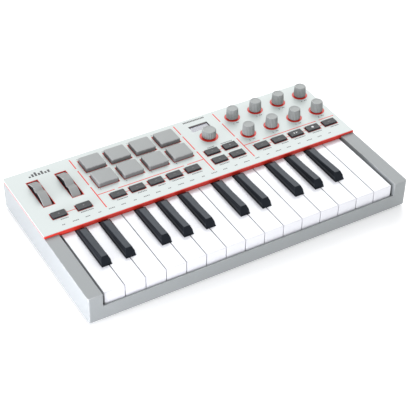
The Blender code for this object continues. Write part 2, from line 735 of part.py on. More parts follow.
def face_panel():
    """The white sheet on the carrier, behind its lip and cut out round every collar."""
    half = CASE_WIDTH / 2
    front = PANEL_FRONT + FRONT_LIP + COLLAR_ROOM
    sheet = boxes("face_panel", [((-half, front, FACE_BOTTOM), (half, REAR, PANEL_TOP))], PARTS)
    bevel_edges(sheet, CORNER_RADIUS, 2,
                lambda start, end: upright(start, end) and start.y > 0)
    low = CARRIER_TOP - FACE_THICKNESS
    cut(sheet, boxes("collar_cutouts", [
        rectangle(centre, size, low, ABOVE, COLLAR_ROOM)
        for centre, size in collar_rectangles()]))
    cut(sheet, posts("knob_cutouts", KNOB_CENTRES, KNOB_RING / 2 + COLLAR_ROOM, low, ABOVE,
                     ROUND_SIDES))
    cut(sheet, posts("encoder_cutout", [(MENU_X, ENCODER_Y)],
                     ENCODER_RING / 2 + COLLAR_ROOM, low, ABOVE, ROUND_SIDES))
    cut(sheet, boxes("window_cutout", [rectangle((MENU_X, WINDOW_Y), WINDOW, low, ABOVE)]))
    finish(sheet, PANEL_WHITE)


# ---- Controls -----------------------------------------------------------------------

def pad_mat():
    """All the pads, moulded in one silicone sheet that lies on the control board."""
    sheet_low = BOARD_TOP + JOINT_GAP
    sheet_high = sheet_low + PAD_SHEET
    half_x = COLUMN_WIDTHS[1] / 2 + PAD_SHEET_BORDER
    half_y = PAD_FIELD / 2 + PAD_SHEET_BORDER
    mat = boxes("pad_mat", [(
        (PADS_X - half_x, PADS_Y - half_y, sheet_low),
        (PADS_X + half_x, PADS_Y + half_y, sheet_high))], PARTS)
    pads = boxes("pad_blocks", [
        rectangle(centre, PAD_OUTLINE, (sheet_low + sheet_high) / 2, PANEL_TOP + PAD_RISE,
                  -RIM - RIM_ROOM)
        for centre in PAD_CENTRES])
    bevel_edges(pads, PAD_ROUNDING, 2,
                lambda start, end: min(start.z, end.z) > PANEL_TOP)
    fuse(mat, pads)
    finish(mat, PAD_GREY)


def button(name, centre):
    """A cap with a lip that keeps it under the carrier and a stem over its switch."""
    lip_high = CARRIER_BOTTOM - JOINT_GAP
    lip_low = lip_high - BUTTON_LIP_THICKNESS
    stem_low = BOARD_TOP + SWITCH_HEIGHT + BUTTON_TRAVEL + JOINT_GAP
    cap = boxes(name, [rectangle(
        centre, BUTTON_OUTLINE, (lip_low + lip_high) / 2, PANEL_TOP + BUTTON_RISE,
        -RIM - RIM_ROOM)], PARTS)
    bevel_edges(cap, BUTTON_ROUNDING, 1,
                lambda start, end: min(start.z, end.z) > PANEL_TOP)
    fuse(cap, boxes(f"{name}_lip", [
        rectangle(centre, BUTTON_OUTLINE, lip_low, lip_high, -RIM - RIM_ROOM + BUTTON_LIP)]))
    fuse(cap, boxes(f"{name}_stem", [
        rectangle(centre, (BUTTON_STEM, BUTTON_STEM), stem_low, (lip_low + lip_high) / 2)]))
    finish(cap, BUTTON_GREY, (*centre, PANEL_TOP))


def shaft_bottom():
    """Where a shaft ends, over the floor of its sensor."""
    return BOARD_TOP + SENSOR_FLOOR + ENCODER_TRAVEL + JOINT_GAP


def knob(number, centre):
    """An endless knob with its shaft."""
    low = PANEL_TOP + KNOB_LIFT
    top = PANEL_TOP + KNOB_RISE
    profile = [
        (0, top - KNOB_DISH),
        (KNOB_TOP / 2 - 3 * KNOB_DISH, top - KNOB_DISH),
        (KNOB_TOP / 2 - KNOB_DISH, top),
        (KNOB_TOP / 2, top - KNOB_DISH),
        (KNOB_BASE / 2, low),
        (SHAFT_RADIUS, low),
        (SHAFT_RADIUS, shaft_bottom()),
        (0, shaft_bottom()),
    ]
    turned(f"knob_{number}", profile, (*centre, 0), ROUND_SIDES, KNOB_GREY)


def encoder():
    """The menu encoder: a shaft that is pressed, and a knob that turns on it."""
    centre = (MENU_X, ENCODER_Y, 0)
    top = PANEL_TOP + ENCODER_RISE
    shaft_top = top - ENCODER_CROWN
    turned("encoder_shaft", [
        (0, shaft_top - JOINT_GAP),
        (SHAFT_RADIUS, shaft_top - JOINT_GAP),
        (SHAFT_RADIUS, shaft_bottom()),
        (0, shaft_bottom()),
    ], centre, BORE_SIDES, SHAFT_STEEL)
    low = PANEL_TOP + ENCODER_TRAVEL + JOINT_GAP
    radius = ENCODER_DIAMETER / 2
    bore = SHAFT_RADIUS + JOINT_GAP
    turned("encoder_knob", [
        (0, top - KNOB_DISH),
        (radius - 3 * KNOB_DISH, top - KNOB_DISH),
        (radius - KNOB_DISH, top),
        (radius - KNOB_DISH / 3, top - KNOB_DISH),
        (radius, low),
        (bore, low),
        (bore, shaft_top),
        (0, shaft_top),
    ], centre, ROUND_SIDES, KNOB_GREY)


def wheel_radius(angle):
    """The tread's radius at an angle from its middle, where the finger dimple is."""
    return WHEEL_RADIUS - WHEEL_DIMPLE * math.exp(-(angle / WHEEL_DIMPLE_SPREAD) ** 2)


def wheel(name, x, lean):
    """A sector of a wheel on its axle, leaning towards the player at rest."""
    def swept(steps):
        return [WHEEL_SPAN * (2 * step / steps - 1) for step in range(steps + 1)]

    tread = [(lean + angle, wheel_radius(angle)) for angle in swept(TREAD_STEPS)]
    hub = [(lean + math.pi + angle, WHEEL_HUB) for angle in swept(HUB_STEPS)]

    def point(angle, radius):
        return (0, -radius * math.sin(angle), radius * math.cos(angle))

    def extruded(outline, width):
        def build(work):
            face = work.faces.new([work.verts.new(place) for place in outline])
            made = bmesh.ops.extrude_face_region(work, geom=[face])["geom"]
            verts = [part for part in made if isinstance(part, bmesh.types.BMVert)]
            bmesh.ops.translate(work, vec=(width, 0, 0), verts=verts)
            bmesh.ops.translate(work, vec=(-width / 2, 0, 0), verts=work.verts)
            bmesh.ops.recalc_face_normals(work, faces=work.faces)
        return mesh_from(build)

    axle = (x, WHEELS_Y, WHEEL_AXLE_Z)
    sector = new_object(
        name, extruded([point(*place) for place in tread + hub], WHEEL_WIDTH), PARTS)
    shade_round(sector)
    sector.location = axle
    window_high = WHEEL_RADIUS - WHEEL_RIM
    open_angle = WHEEL_SPAN / 2
    corners = [(lean - open_angle, window_high), (lean, window_high),
               (lean + open_angle, window_high), (lean + open_angle, WHEEL_BOSS),
               (lean - open_angle, WHEEL_BOSS)]
    window = new_object(
        f"{name}_window", extruded([point(*place) for place in corners], 2 * WHEEL_WIDTH),
        CUTTERS)
    window.location = axle
    cut(sector, window)
    axle_length = WHEEL_WIDTH + 2 * (CRADLE_GAP + CRADLE_THICKNESS)
    fuse(sector, rod(f"{name}_axle", axle, AXLE_RADIUS, axle_length, "X", SMALL_SIDES))
    sector.data.materials.append(WHEEL_GREY)


# ---- Boards and sockets -------------------------------------------------------------

def socket_places():
    """Where the two sockets are along the rear wall."""
    return row(SOCKET_CENTRE, 2, SOCKET_PITCH)


SOCKET_BOARD_TOP = FLOOR_TOP + SOCKET_BOARD_LIFT
SOCKET_SUNK = SOCKET_BOARD_TOP - BOARD_THICKNESS / 2
USB_Z = (SOCKET_SUNK, SOCKET_BOARD_TOP + USB_BODY[2])
JACK_Z = SOCKET_BOARD_TOP + JACK_BODY[2] / 2


def socket_board():
    """The board behind the rear wall, with the data socket and the pedal jack."""
    inside = REAR - WALL - JOINT_GAP
    usb, jack = socket_places()
    board = boxes("socket_board", [(
        (SOCKET_CENTRE - SOCKET_BOARD[0] / 2, inside - SOCKET_BOARD[1],
         SOCKET_BOARD_TOP - BOARD_THICKNESS),
        (SOCKET_CENTRE + SOCKET_BOARD[0] / 2, inside, SOCKET_BOARD_TOP))], PARTS)
    fuse(board, boxes("socket_bodies", [
        ((usb - USB_BODY[0] / 2, REAR - USB_BODY[1], USB_Z[0]),
         (usb + USB_BODY[0] / 2, REAR - JOINT_GAP, USB_Z[1])),
        ((jack - JACK_BODY[0] / 2, inside - JACK_BODY[1], SOCKET_SUNK),
         (jack + JACK_BODY[0] / 2, inside - JOINT_GAP, SOCKET_BOARD_TOP + JACK_BODY[2]))]))
    collar_length = 4 * WALL
    fuse(board, rod("jack_collar", (jack, REAR - JOINT_GAP - collar_length / 2, JACK_Z),
                    JACK_COLLAR, collar_length, "Y", BORE_SIDES))
    mouth_z = (USB_Z[0] + USB_Z[1]) / 2
    cut(board, boxes("usb_mouth", [(
        (usb - USB_MOUTH[0] / 2, REAR - USB_MOUTH[1], mouth_z - USB_MOUTH[2] / 2),
        (usb + USB_MOUTH[0] / 2, REAR + WALL, mouth_z + USB_MOUTH[2] / 2))]))
    cut(board, rod("jack_bore", (jack, REAR, JACK_Z), JACK_RADIUS, 2 * JACK_BORE, "Y",
                   BORE_SIDES))
    finish(board, BOARD_GREEN)


def control_board():
    """The board under the panel, with a switch or a turn sensor at each control."""
    left = PADS_X - COLUMN_WIDTHS[1] / 2 - 2 * PAD_SHEET_BORDER
    right = CASE_WIDTH / 2 - WALL - BOARD_ROOM
    tongue_left = -CASE_WIDTH / 2 + WALL + BOARD_ROOM
    sweep = math.sqrt(WHEEL_RADIUS ** 2 - (BOARD_BOTTOM - WHEEL_AXLE_Z) ** 2)
    tongue_rear = WHEELS_Y - sweep - BOARD_ROOM
    board = boxes("control_board", [(
        (left, BOARD_FRONT, BOARD_BOTTOM), (right, REAR - WALL - BOARD_ROOM, BOARD_TOP))],
        PARTS)
    fuse(board, boxes("board_tongue", [(
        (tongue_left, BOARD_FRONT, BOARD_BOTTOM),
        (left + BOARD_ROOM, tongue_rear, BOARD_TOP))]))
    sunk = BOARD_TOP - BOARD_THICKNESS / 2
    fuse(board, boxes("switches", [
        rectangle(centre, (SWITCH_SIZE, SWITCH_SIZE), sunk, BOARD_TOP + SWITCH_HEIGHT)
        for centre in BUTTONS.values()]))
    sensors = KNOB_CENTRES + [(MENU_X, ENCODER_Y)]
    fuse(board, boxes("sensors", [
        rectangle(centre, (SENSOR_SIZE, SENSOR_SIZE), sunk, BOARD_TOP + SENSOR_HEIGHT)
        for centre in sensors]))
    cut(board, posts("sensor_bores", sensors, SHAFT_RADIUS + JOINT_GAP,
                     BOARD_TOP + SENSOR_FLOOR, ABOVE, BORE_SIDES))
    finish(board, BOARD_GREEN)


def display_module():
    """The screen on its base, showing through the window."""
    centre = (MENU_X, WINDOW_Y)
    base_high = CARRIER_BOTTOM - JOINT_GAP
    module = boxes("display_module", [rectangle(
        centre, WINDOW, BOARD_TOP + JOINT_GAP, base_high, SCREEN_BASE_BORDER)], PARTS)
    fuse(module, boxes("screen", [rectangle(
        centre, WINDOW, base_high - WALL, FACE_BOTTOM - JOINT_GAP, SCREEN_BORDER)]))
    finish(module, SCREEN_GREY)


# ---- Build --------------------------------------------------------------------------

bottom_case()
top_case()
face_panel()
control_board()
socket_board()
display_module()
pad_mat()
for key_index in range(WHITE_KEYS):
    white_key(key_index)
for key_number, key_gap in enumerate(BLACK_GAPS, 1):
    black_key(key_number, key_gap)
wheel("pitch_wheel", WHEEL_CENTRES[0], 0.0)
wheel("mod_wheel", WHEEL_CENTRES[1], MOD_WHEEL_LEAN)
for knob_number, knob_centre in enumerate(KNOB_CENTRES, 1):
    knob(knob_number, knob_centre)
encoder()
for button_name, button_centre in BUTTONS.items():
    button(button_name, button_centre)
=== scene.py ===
import json
import math

import bmesh
import bpy
from mathutils import Euler, Matrix, Vector


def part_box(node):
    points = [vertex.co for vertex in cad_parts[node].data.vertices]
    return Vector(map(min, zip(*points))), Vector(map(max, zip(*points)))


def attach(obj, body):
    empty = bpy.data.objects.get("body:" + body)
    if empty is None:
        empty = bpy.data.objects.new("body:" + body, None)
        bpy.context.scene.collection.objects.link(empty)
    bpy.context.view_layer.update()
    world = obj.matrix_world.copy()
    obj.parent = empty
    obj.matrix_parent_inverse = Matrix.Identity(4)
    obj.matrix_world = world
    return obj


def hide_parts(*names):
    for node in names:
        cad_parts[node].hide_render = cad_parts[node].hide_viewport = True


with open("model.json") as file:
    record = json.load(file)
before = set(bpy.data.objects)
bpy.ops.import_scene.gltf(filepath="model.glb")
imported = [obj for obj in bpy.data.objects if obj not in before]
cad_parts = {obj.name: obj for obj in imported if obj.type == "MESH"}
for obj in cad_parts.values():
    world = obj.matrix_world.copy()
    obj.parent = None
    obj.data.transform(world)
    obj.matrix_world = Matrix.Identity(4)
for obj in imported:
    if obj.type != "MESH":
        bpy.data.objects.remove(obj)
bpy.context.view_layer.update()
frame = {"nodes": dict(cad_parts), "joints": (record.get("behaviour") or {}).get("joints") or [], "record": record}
scene = bpy.context.scene

# ---- Camera, light and table --------------------------------------------------------
# A long lens looks down over the front left corner of the keyboard. The table and the room
# are plain white. One soft light stands low on the left, a large one high behind the right.

MM = 0.001
CAMERA_PLACE = (-0.44899, -0.7594, 0.72457)
CAMERA_AZIMUTH = 30.577
CAMERA_ELEVATION = 39.352
CAMERA_ROLL = 0.94
CAMERA_LENS = 105.69
ROOM_WHITE = (0.98, 0.99, 1.0, 1)
ROOM_STRENGTH = 0.68
TABLE_SIZE = 6.0
TABLE_GLOW = 0.28


def turned_camera(azimuth, elevation, roll):
    """The turn of a camera that looks along an azimuth, down by an elevation."""
    heading = Euler((0, 0, -math.radians(azimuth))).to_matrix()
    pitch = Euler((math.radians(90 - elevation), 0, 0)).to_matrix()
    lean = Euler((0, 0, math.radians(roll))).to_matrix()
    return (heading @ pitch @ lean).to_euler()


camera_data = bpy.data.cameras.new("camera")
camera_data.lens = CAMERA_LENS
camera = bpy.data.objects.new("camera", camera_data)
camera.location = CAMERA_PLACE
camera.rotation_euler = turned_camera(CAMERA_AZIMUTH, CAMERA_ELEVATION, CAMERA_ROLL)
scene.collection.objects.link(camera)
scene.camera = camera
scene.view_settings.view_transform = "Standard"


def soft_light(name, place, aim, size, power, colour):
    """A soft light of a width and a height that faces a point."""
    data = bpy.data.lights.new(name, "AREA")
    data.shape = "RECTANGLE"
    data.size, data.size_y = size
    data.energy = power
    data.color = colour
    light = bpy.data.objects.new(name, data)
    light.location = place
    light.visible_camera = False
    light.rotation_euler = (Vector(aim) - Vector(place)).to_track_quat("-Z", "Y").to_euler()
    scene.collection.objects.link(light)


soft_light("left_light", place=(-0.62, -0.2, 0.075), aim=(-0.165, -0.06, 0.02),
           size=(0.45, 0.1), power=4.2, colour=(0.94, 0.935, 1.0))
soft_light("rear_light", place=(0.75, 1.25, 1.2), aim=(0, 0, 0), size=(1.4, 1.4), power=22,
           colour=(1, 1, 1))

room = bpy.data.worlds.new("room")
room.use_nodes = True
room_light = room.node_tree.nodes["Background"].inputs
room_light["Color"].default_value = ROOM_WHITE
room_light["Strength"].default_value = ROOM_STRENGTH
scene.world = room


def add_node(tree, kind, inputs=None, **settings):
    """A node with its settings made and its inputs set or linked by name."""
    node = tree.nodes.new(kind)
    for name, value in settings.items():
        setattr(node, name, value)
    for name, value in (inputs or {}).items():
        if isinstance(value, bpy.types.NodeSocket):
            tree.links.new(value, node.inputs[name])
        else:
            node.inputs[name].default_value = value
    return node


def mixed(tree, factor, first, second):
    """The colour output of a mix of two colours."""
    node = tree.nodes.new("ShaderNodeMix")
    node.data_type = "RGBA"
    sockets = {socket.identifier: socket for socket in node.inputs}
    for name, value in (("Factor_Float", factor), ("A_Color", first), ("B_Color", second)):
        if isinstance(value, bpy.types.NodeSocket):
            tree.links.new(value, sockets[name])
        else:
            sockets[name].default_value = value
    return next(out for out in node.outputs if out.identifier == "Result_Color")


def table_material():
    """A dull white table top with faint clouds."""
    made = bpy.data.materials.new("white_table")
    made.use_nodes = True
    tree = made.node_tree
    shader = tree.nodes["Principled BSDF"]
    shader.inputs["Roughness"].default_value = 0.7
    shader.inputs["Specular IOR Level"].default_value = 0.2
    shader.inputs["Emission Color"].default_value = (1, 1, 1, 1)
    shader.inputs["Emission Strength"].default_value = TABLE_GLOW
    place = add_node(tree, "ShaderNodeTexCoord").outputs["Object"]
    cloud = add_node(tree, "ShaderNodeTexNoise", {"Vector": place, "Scale": 3.0})
    tree.links.new(mixed(tree, cloud.outputs["Fac"], (0.93, 0.93, 0.93, 1),
                         (0.96, 0.96, 0.96, 1)), shader.inputs["Base Color"])
    return made


def new_piece(name, work, *materials):
    """An object at the origin from a bmesh, with its finishes."""
    mesh = bpy.data.meshes.new(name)
    work.to_mesh(mesh)
    work.free()
    piece = bpy.data.objects.new(name, mesh)
    for finish in materials:
        mesh.materials.append(finish)
    scene.collection.objects.link(piece)
    return piece


table_mesh = bmesh.new()
bmesh.ops.create_grid(table_mesh, x_segments=1, y_segments=1, size=TABLE_SIZE / 2)
new_piece("table_top", table_mesh, table_material())


# ---- Bottom case --------------------------------------------------------------------
# One tray of grey ABS with a fine spark texture: the floor, the two cheeks beside the keys
# and the rail in front of them. Its outer edges are broken by hand after moulding.

CASE_EDGE = 0.45 * MM
CHEEK_WIDTH = 14.5 * MM
RAIL_WALL = 3.0 * MM
FOOT_HEIGHT = 2.5 * MM
FOOT_EDGES = 2.0 * MM
FLOOR_THICKNESS = 2.0 * MM
CASE_GREYS = ((0.335, 0.355, 0.36), (0.31, 0.33, 0.335), (0.48, 0.49, 0.49))
CASE_LOW, CASE_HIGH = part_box("bottom_case")
UNDERSIDE = CASE_LOW[2] + FOOT_HEIGHT


def moulded(name, colour, deep, worn, roughness, grain, relief, patch=35 * MM, metallic=0.0,
            coat=0.0, specular=0.5, side=None, tint=(1, 1, 1)):
    """Moulded plastic or rubber: slow colour patches, a fine grain, and rubbed edges.

    colour and deep are the two ends of the colour patches, worn is the colour of the faces
    marked as edges, and side a darker colour for painted shade on the faces marked as sides.
    grain is the size of the surface texture and relief its depth, and tint colours the gloss.
    """
    made = bpy.data.materials.new(name)
    made.use_nodes = True
    tree = made.node_tree
    shader = tree.nodes["Principled BSDF"]
    shader.inputs["Metallic"].default_value = metallic
    shader.inputs["Coat Weight"].default_value = coat
    shader.inputs["Coat Roughness"].default_value = 0.12
    shader.inputs["Specular IOR Level"].default_value = specular
    shader.inputs["Specular Tint"].default_value = (*tint, 1)
    place = add_node(tree, "ShaderNodeTexCoord").outputs["Object"]
    patches = add_node(tree, "ShaderNodeTexNoise", {
        "Vector": place, "Scale": 1 / patch, "Detail": 5.0, "Roughness": 0.6})
    tone = mixed(tree, patches.outputs["Fac"], (*deep, 1), (*colour, 1))
    # Faces marked as sides take the side colour: painted shade on upright faces.
    if side:
        marked = add_node(tree, "ShaderNodeAttribute", attribute_name="side")
        tone = mixed(tree, marked.outputs["Fac"], tone, (*side, 1))
    edge = add_node(tree, "ShaderNodeAttribute", attribute_name="edge")
    rub = add_node(tree, "ShaderNodeTexNoise", {
        "Vector": place, "Scale": 6 / patch, "Detail": 3.0})
    rubbed = add_node(tree, "ShaderNodeMapRange", {
        "Value": rub.outputs["Fac"], "From Min": 0.42, "From Max": 0.62, "To Min": 0.15,
        "To Max": 0.8})
    wear = add_node(tree, "ShaderNodeMath", operation="MULTIPLY")
    tree.links.new(edge.outputs["Fac"], wear.inputs[0])
    tree.links.new(rubbed.outputs["Result"], wear.inputs[1])
    tree.links.new(mixed(tree, wear.outputs["Value"], tone, (*worn, 1)),
                   shader.inputs["Base Color"])
    fine = add_node(tree, "ShaderNodeTexNoise", {
        "Vector": place, "Scale": 1 / grain, "Detail": 2.0})
    sheen = add_node(tree, "ShaderNodeMapRange", {
        "Value": patches.outputs["Fac"], "To Min": roughness - 0.06,
        "To Max": roughness + 0.06})
    tree.links.new(sheen.outputs["Result"], shader.inputs["Roughness"])
    bump = add_node(tree, "ShaderNodeBump", {
        "Strength": 0.6, "Distance": relief, "Height": fine.outputs["Fac"]})
    tree.links.new(bump.outputs["Normal"], shader.inputs["Normal"])
    return made


def merged_copy(node):
    """The mesh of a frame node with its loose triangles joined into whole faces."""
    work = bmesh.new()
    work.from_mesh(frame["nodes"][node].data)
    bmesh.ops.remove_doubles(work, verts=work.verts, dist=0.001 * MM)
    bmesh.ops.dissolve_limit(
        work, angle_limit=math.radians(1), verts=work.verts, edges=work.edges)
    return work


def edge_marks(work):
    """The layer that says how worn each face is."""
    return work.faces.layers.float.get("edge") or work.faces.layers.float.new("edge")


def break_edges(work, chosen, width, segments=2, least=30):
    """Round the chosen outer edges, and mark the new faces as worn edges."""
    edge = edge_marks(work)
    edges = [
        line for line in work.edges
        if line.is_manifold and line.is_convex
        and line.calc_face_angle() > math.radians(least)
        and chosen((line.verts[0].co + line.verts[1].co) / 2)]
    made = bmesh.ops.bevel(work, geom=edges, offset=width, segments=segments, profile=0.5,
                           affect="EDGES", clamp_overlap=True)
    for face in made["faces"]:
        face[edge] = 1.0


def shade(piece, angle=40):
    """Smooth shading with the piece's own hard edges kept."""
    piece.data.shade_smooth()
    piece.data.set_sharp_from_angle(angle=math.radians(angle))
    level = piece.modifiers.new("even_shading", "WEIGHTED_NORMAL")
    level.keep_sharp = True
    return piece


def fit_piece(piece, body, slot, *nodes):
    """Fix a piece to a body, and hide the frame nodes that it stands for. The slot is not used."""
    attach(piece, body)
    if nodes:
        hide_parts(*nodes)


case_plastic = moulded("case_plastic", *CASE_GREYS, 0.5, 0.35 * MM, 0.03 * MM)
case_work = merged_copy("bottom_case")


def outer_edge_of_case(place):
    """The edges round the outside of the tray, above those of its feet."""
    on_side = abs(place.x) > CASE_HIGH[0] - CHEEK_WIDTH
    on_rail = place.y < CASE_LOW[1] + RAIL_WALL and place.z < CASE_HIGH[2]
    return (on_side or on_rail) and place.z > CASE_LOW[2] + FOOT_EDGES


break_edges(case_work, outer_edge_of_case, CASE_EDGE)
fit_piece(shade(new_piece("bottom_case_shell", case_work, case_plastic)), "case", "case_grey",
          "bottom_case")


# ---- Feet and case screws -----------------------------------------------------------
# Four round rubber feet are glued over bosses under the corners of the case. Steel
# cross-head screws come up through its floor, four to each side and three to the middle.

FOOT_RADIUS = 7.0 * MM
FOOT_ROUNDING = 0.8 * MM
FOOT_SUNK = 0.1 * MM
SCREW_RADIUS = 2.9 * MM
SCREW_HEIGHT = 1.3 * MM
SCREW_PROFILE = ((0.3, 0.0), (1.0, 0.0), (1.0, 0.5), (0.88, 0.85), (0.7, 1.0))
SCREW_SLOT = 1.7 * MM
SCREW_SLOT_HALF = 0.35 * MM
SCREW_SLOT_DEPTH = 0.8 * MM
SCREW_INSET = (7.5 * MM, 9.0 * MM)
SCREW_CORNER_SHIFT = 22 * MM
SCREW_INNER_ROWS = (-30 * MM, 18 * MM)
ROUND_POINTS = 48
ARC_STEPS = 4


def loft(work, rings, worn=(), sleeve=False):
    """Join rings of points into one closed skin, and mark some of its bands as rubbed.

    The end rings are filled, but in a sleeve the last ring meets the first.
    """
    edge = edge_marks(work)
    loops = [[work.verts.new(point) for point in ring] for ring in rings]
    for band, low in enumerate(loops if sleeve else loops[:-1]):
        high = loops[(band + 1) % len(loops)]
        for index in range(len(low)):
            after = (index + 1) % len(low)
            face = work.faces.new((low[index], low[after], high[after], high[index]))
            face[edge] = 1.0 if band in worn else 0.0
    if not sleeve:
        work.faces.new(loops[0][::-1])
        work.faces.new(loops[-1])


def face_outwards(work):
    """Turn the faces of closed skins outwards."""
    bmesh.ops.recalc_face_normals(work, faces=work.faces)


def circle(radius, height, centre=(0, 0), points=ROUND_POINTS):
    """A level ring of points; radius may be a function of the angle."""
    ring = []
    for index in range(points):
        angle = 2 * math.pi * index / points
        reach = radius(angle) if callable(radius) else radius
        ring.append(Vector((centre[0] + reach * math.cos(angle),
                            centre[1] + reach * math.sin(angle), height)))
    return ring


def quarter_arc():
    """The inset and the rise of a rounded edge of radius one, from its side to its top."""
    angles = [math.pi / 2 * step / ARC_STEPS for step in range(ARC_STEPS + 1)]
    return [(1 - math.cos(angle), math.sin(angle)) for angle in angles]


def geometry_tree(name, sizes):
    """A node tree with a geometry input and named sizes."""
    tree = bpy.data.node_groups.new(name, "GeometryNodeTree")
    face = tree.interface
    face.new_socket("Geometry", in_out="INPUT", socket_type="NodeSocketGeometry")
    for title, kind in sizes.items():
        face.new_socket(title, in_out="INPUT", socket_type=f"NodeSocket{kind}")
    face.new_socket("Geometry", in_out="OUTPUT", socket_type="NodeSocketGeometry")
    return tree, tree.nodes.new("NodeGroupInput").outputs


def end_tree(tree, geometry, finish):
    """Make a tree's instances real, and give them their finish."""
    real = add_node(tree, "GeometryNodeRealizeInstances", {"Geometry": geometry})
    coated = add_node(tree, "GeometryNodeSetMaterial", {
        "Geometry": real.outputs["Geometry"], "Material": finish})
    add_node(tree, "NodeGroupOutput", {"Geometry": coated.outputs["Geometry"]})


def grow(name, source, tree, sizes, finish):
    """Run a node tree on an object, and keep what it makes as a plain piece."""
    modifier = source.modifiers.new("grow", "NODES")
    modifier.node_group = tree
    for item in tree.interface.items_tree:
        if item.in_out == "INPUT" and item.name in sizes:
            modifier[item.identifier] = sizes[item.name]
    evaluated = source.evaluated_get(bpy.context.evaluated_depsgraph_get())
    mesh = bpy.data.meshes.new_from_object(evaluated)
    bpy.data.objects.remove(source)
    mesh.name = name
    mesh.materials.clear()
    mesh.materials.append(finish)
    piece = bpy.data.objects.new(name, mesh)
    scene.collection.objects.link(piece)
    return piece


def stamp_tree(finish):
    """Sets one stamp down on every point."""
    tree, given = geometry_tree("stamps", {"Stamp": "Object", "Size": "Float"})
    stamp = add_node(tree, "GeometryNodeObjectInfo", {"Object": given["Stamp"]})
    placed = add_node(tree, "GeometryNodeInstanceOnPoints", {
        "Points": given["Geometry"], "Instance": stamp.outputs["Geometry"],
        "Scale": given["Size"]})
    end_tree(tree, placed.outputs["Instances"], finish)
    return tree


def stamped(name, places, stamp, finish):
    """One piece made of a stamp set down on each place."""
    points = bmesh.new()
    for place in places:
        points.verts.new(place)
    source = new_piece(f"{name}_places", points)
    piece = grow(name, source, stamp_tree(finish), {"Stamp": stamp, "Size": 1.0}, finish)
    bpy.data.objects.remove(stamp)
    return shade(piece)


foot_rubber = moulded("foot_rubber", (0.035, 0.035, 0.036), (0.022, 0.022, 0.023),
                      (0.09, 0.09, 0.09), 0.75, 0.5 * MM, 0.05 * MM, patch=8 * MM)
foot_places = [
    Vector(mount["pos_m"]) for mount in frame["record"]["mounts"]
    if mount["name"].startswith("foot")]
foot_work = bmesh.new()
loft(foot_work, [circle(FOOT_RADIUS * 0.5, 0.0)]
     + [circle(FOOT_RADIUS - FOOT_ROUNDING * inset, FOOT_ROUNDING * (1 - rise))
        for inset, rise in reversed(quarter_arc())]
     + [circle(FOOT_RADIUS, UNDERSIDE + FOOT_SUNK)], worn=(1, 2))
fit_piece(stamped("feet", foot_places, new_piece("foot", foot_work), foot_rubber),
          "case", "pad_grey")


def cross(angle):
    """The reach of a cross-shaped slot in a direction."""
    folded = abs((angle + math.pi / 4) % (math.pi / 2) - math.pi / 4)
    side = SCREW_SLOT_HALF / max(math.sin(folded), SCREW_SLOT_HALF / SCREW_SLOT)
    return min(SCREW_SLOT / math.cos(folded), side)


screw_steel = moulded("screw_steel", (0.22, 0.22, 0.23), (0.12, 0.12, 0.13),
                      (0.55, 0.55, 0.55), 0.35, 0.3 * MM, 0.01 * MM, patch=4 * MM,
                      metallic=1.0)
screw_work = bmesh.new()
slot_foot = SCREW_SLOT_DEPTH - SCREW_HEIGHT
loft(screw_work, [circle(SCREW_RADIUS * reach, -SCREW_HEIGHT * depth)
                  for reach, depth in SCREW_PROFILE]
     + [circle(cross, -SCREW_HEIGHT), circle(cross, slot_foot),
        circle(SCREW_SLOT_HALF * 0.5, slot_foot)], worn=(2, 3))
face_outwards(screw_work)
screw_rows = [CASE_LOW[1] + SCREW_INSET[1], *SCREW_INNER_ROWS, CASE_HIGH[1] - SCREW_INSET[1]]
screw_places = []
for side in (-1, 1):
    for row in screw_rows:
        shift = 0 if row in SCREW_INNER_ROWS else SCREW_CORNER_SHIFT
        screw_places.append((side * (CASE_HIGH[0] - SCREW_INSET[0] - shift), row, UNDERSIDE))
screw_places += [(0, row, UNDERSIDE) for row in screw_rows if row != SCREW_INNER_ROWS[0]]
fit_piece(stamped("case_screws", screw_places, new_piece("screw", screw_work), screw_steel),
          "case", "shaft_steel")


# ---- Felts and a shade sheet under the keys -----------------------------------------
# A thin black sheet on the floor of the key well is painted shade that darkens the gaps
# between the keys. A felt layer on it across its front stops the white keys quietly, and
# a felt strip farther back the black keys.

FELT_AND_SHADE_SHEET_HEIGHT = 1.2 * MM
FELT_WIDTH = 12.0 * MM
FELT_AND_SHADE_SHEET_ROUNDING = 0.4 * MM
FELT_SIDE_ROOM = 6.0 * MM
SHADE_SHEET_FRONT_ROOM = 1.0 * MM
SHADE_SHEET_OVERHANG = 1.5 * MM
SHADE_SHEET_REAR = -60.0 * MM
FELT_AND_SHADE_SHEET_LIFT = 0.02 * MM
CORNER_STEPS = 5
WHITE_KEYS = sorted(node for node in frame["nodes"] if node.startswith("white_key"))
BLACK_KEYS = sorted(node for node in frame["nodes"] if node.startswith("black_key"))
KEYS_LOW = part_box(WHITE_KEYS[0])[0]
KEYS_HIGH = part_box(WHITE_KEYS[-1])[1]


def rounded_ring(centre, half, radius, height):
    """A level ring of points round a rectangle with rounded corners."""
    ring = []
    for corner, (side_x, side_y) in enumerate(((1, 1), (-1, 1), (-1, -1), (1, -1))):
        middle = (centre[0] + side_x * (half[0] - radius),
                  centre[1] + side_y * (half[1] - radius))
        for step in range(CORNER_STEPS + 1):
            angle = math.pi / 2 * (corner + step / CORNER_STEPS)
            ring.append(Vector((middle[0] + radius * math.cos(angle),
                                middle[1] + radius * math.sin(angle), height)))
    return ring


def rounded_rings(centre, half, corner, top, rounding):
    """Rings that round a block's top edge over, from its side to its flat top."""
    rings = []
    for inset, rise in quarter_arc():
        shrink = rounding * inset
        rings.append(rounded_ring(
            centre, (half[0] - shrink, half[1] - shrink), max(corner - shrink, 0.05 * MM),
            top - rounding * (1 - rise)))
    return rings
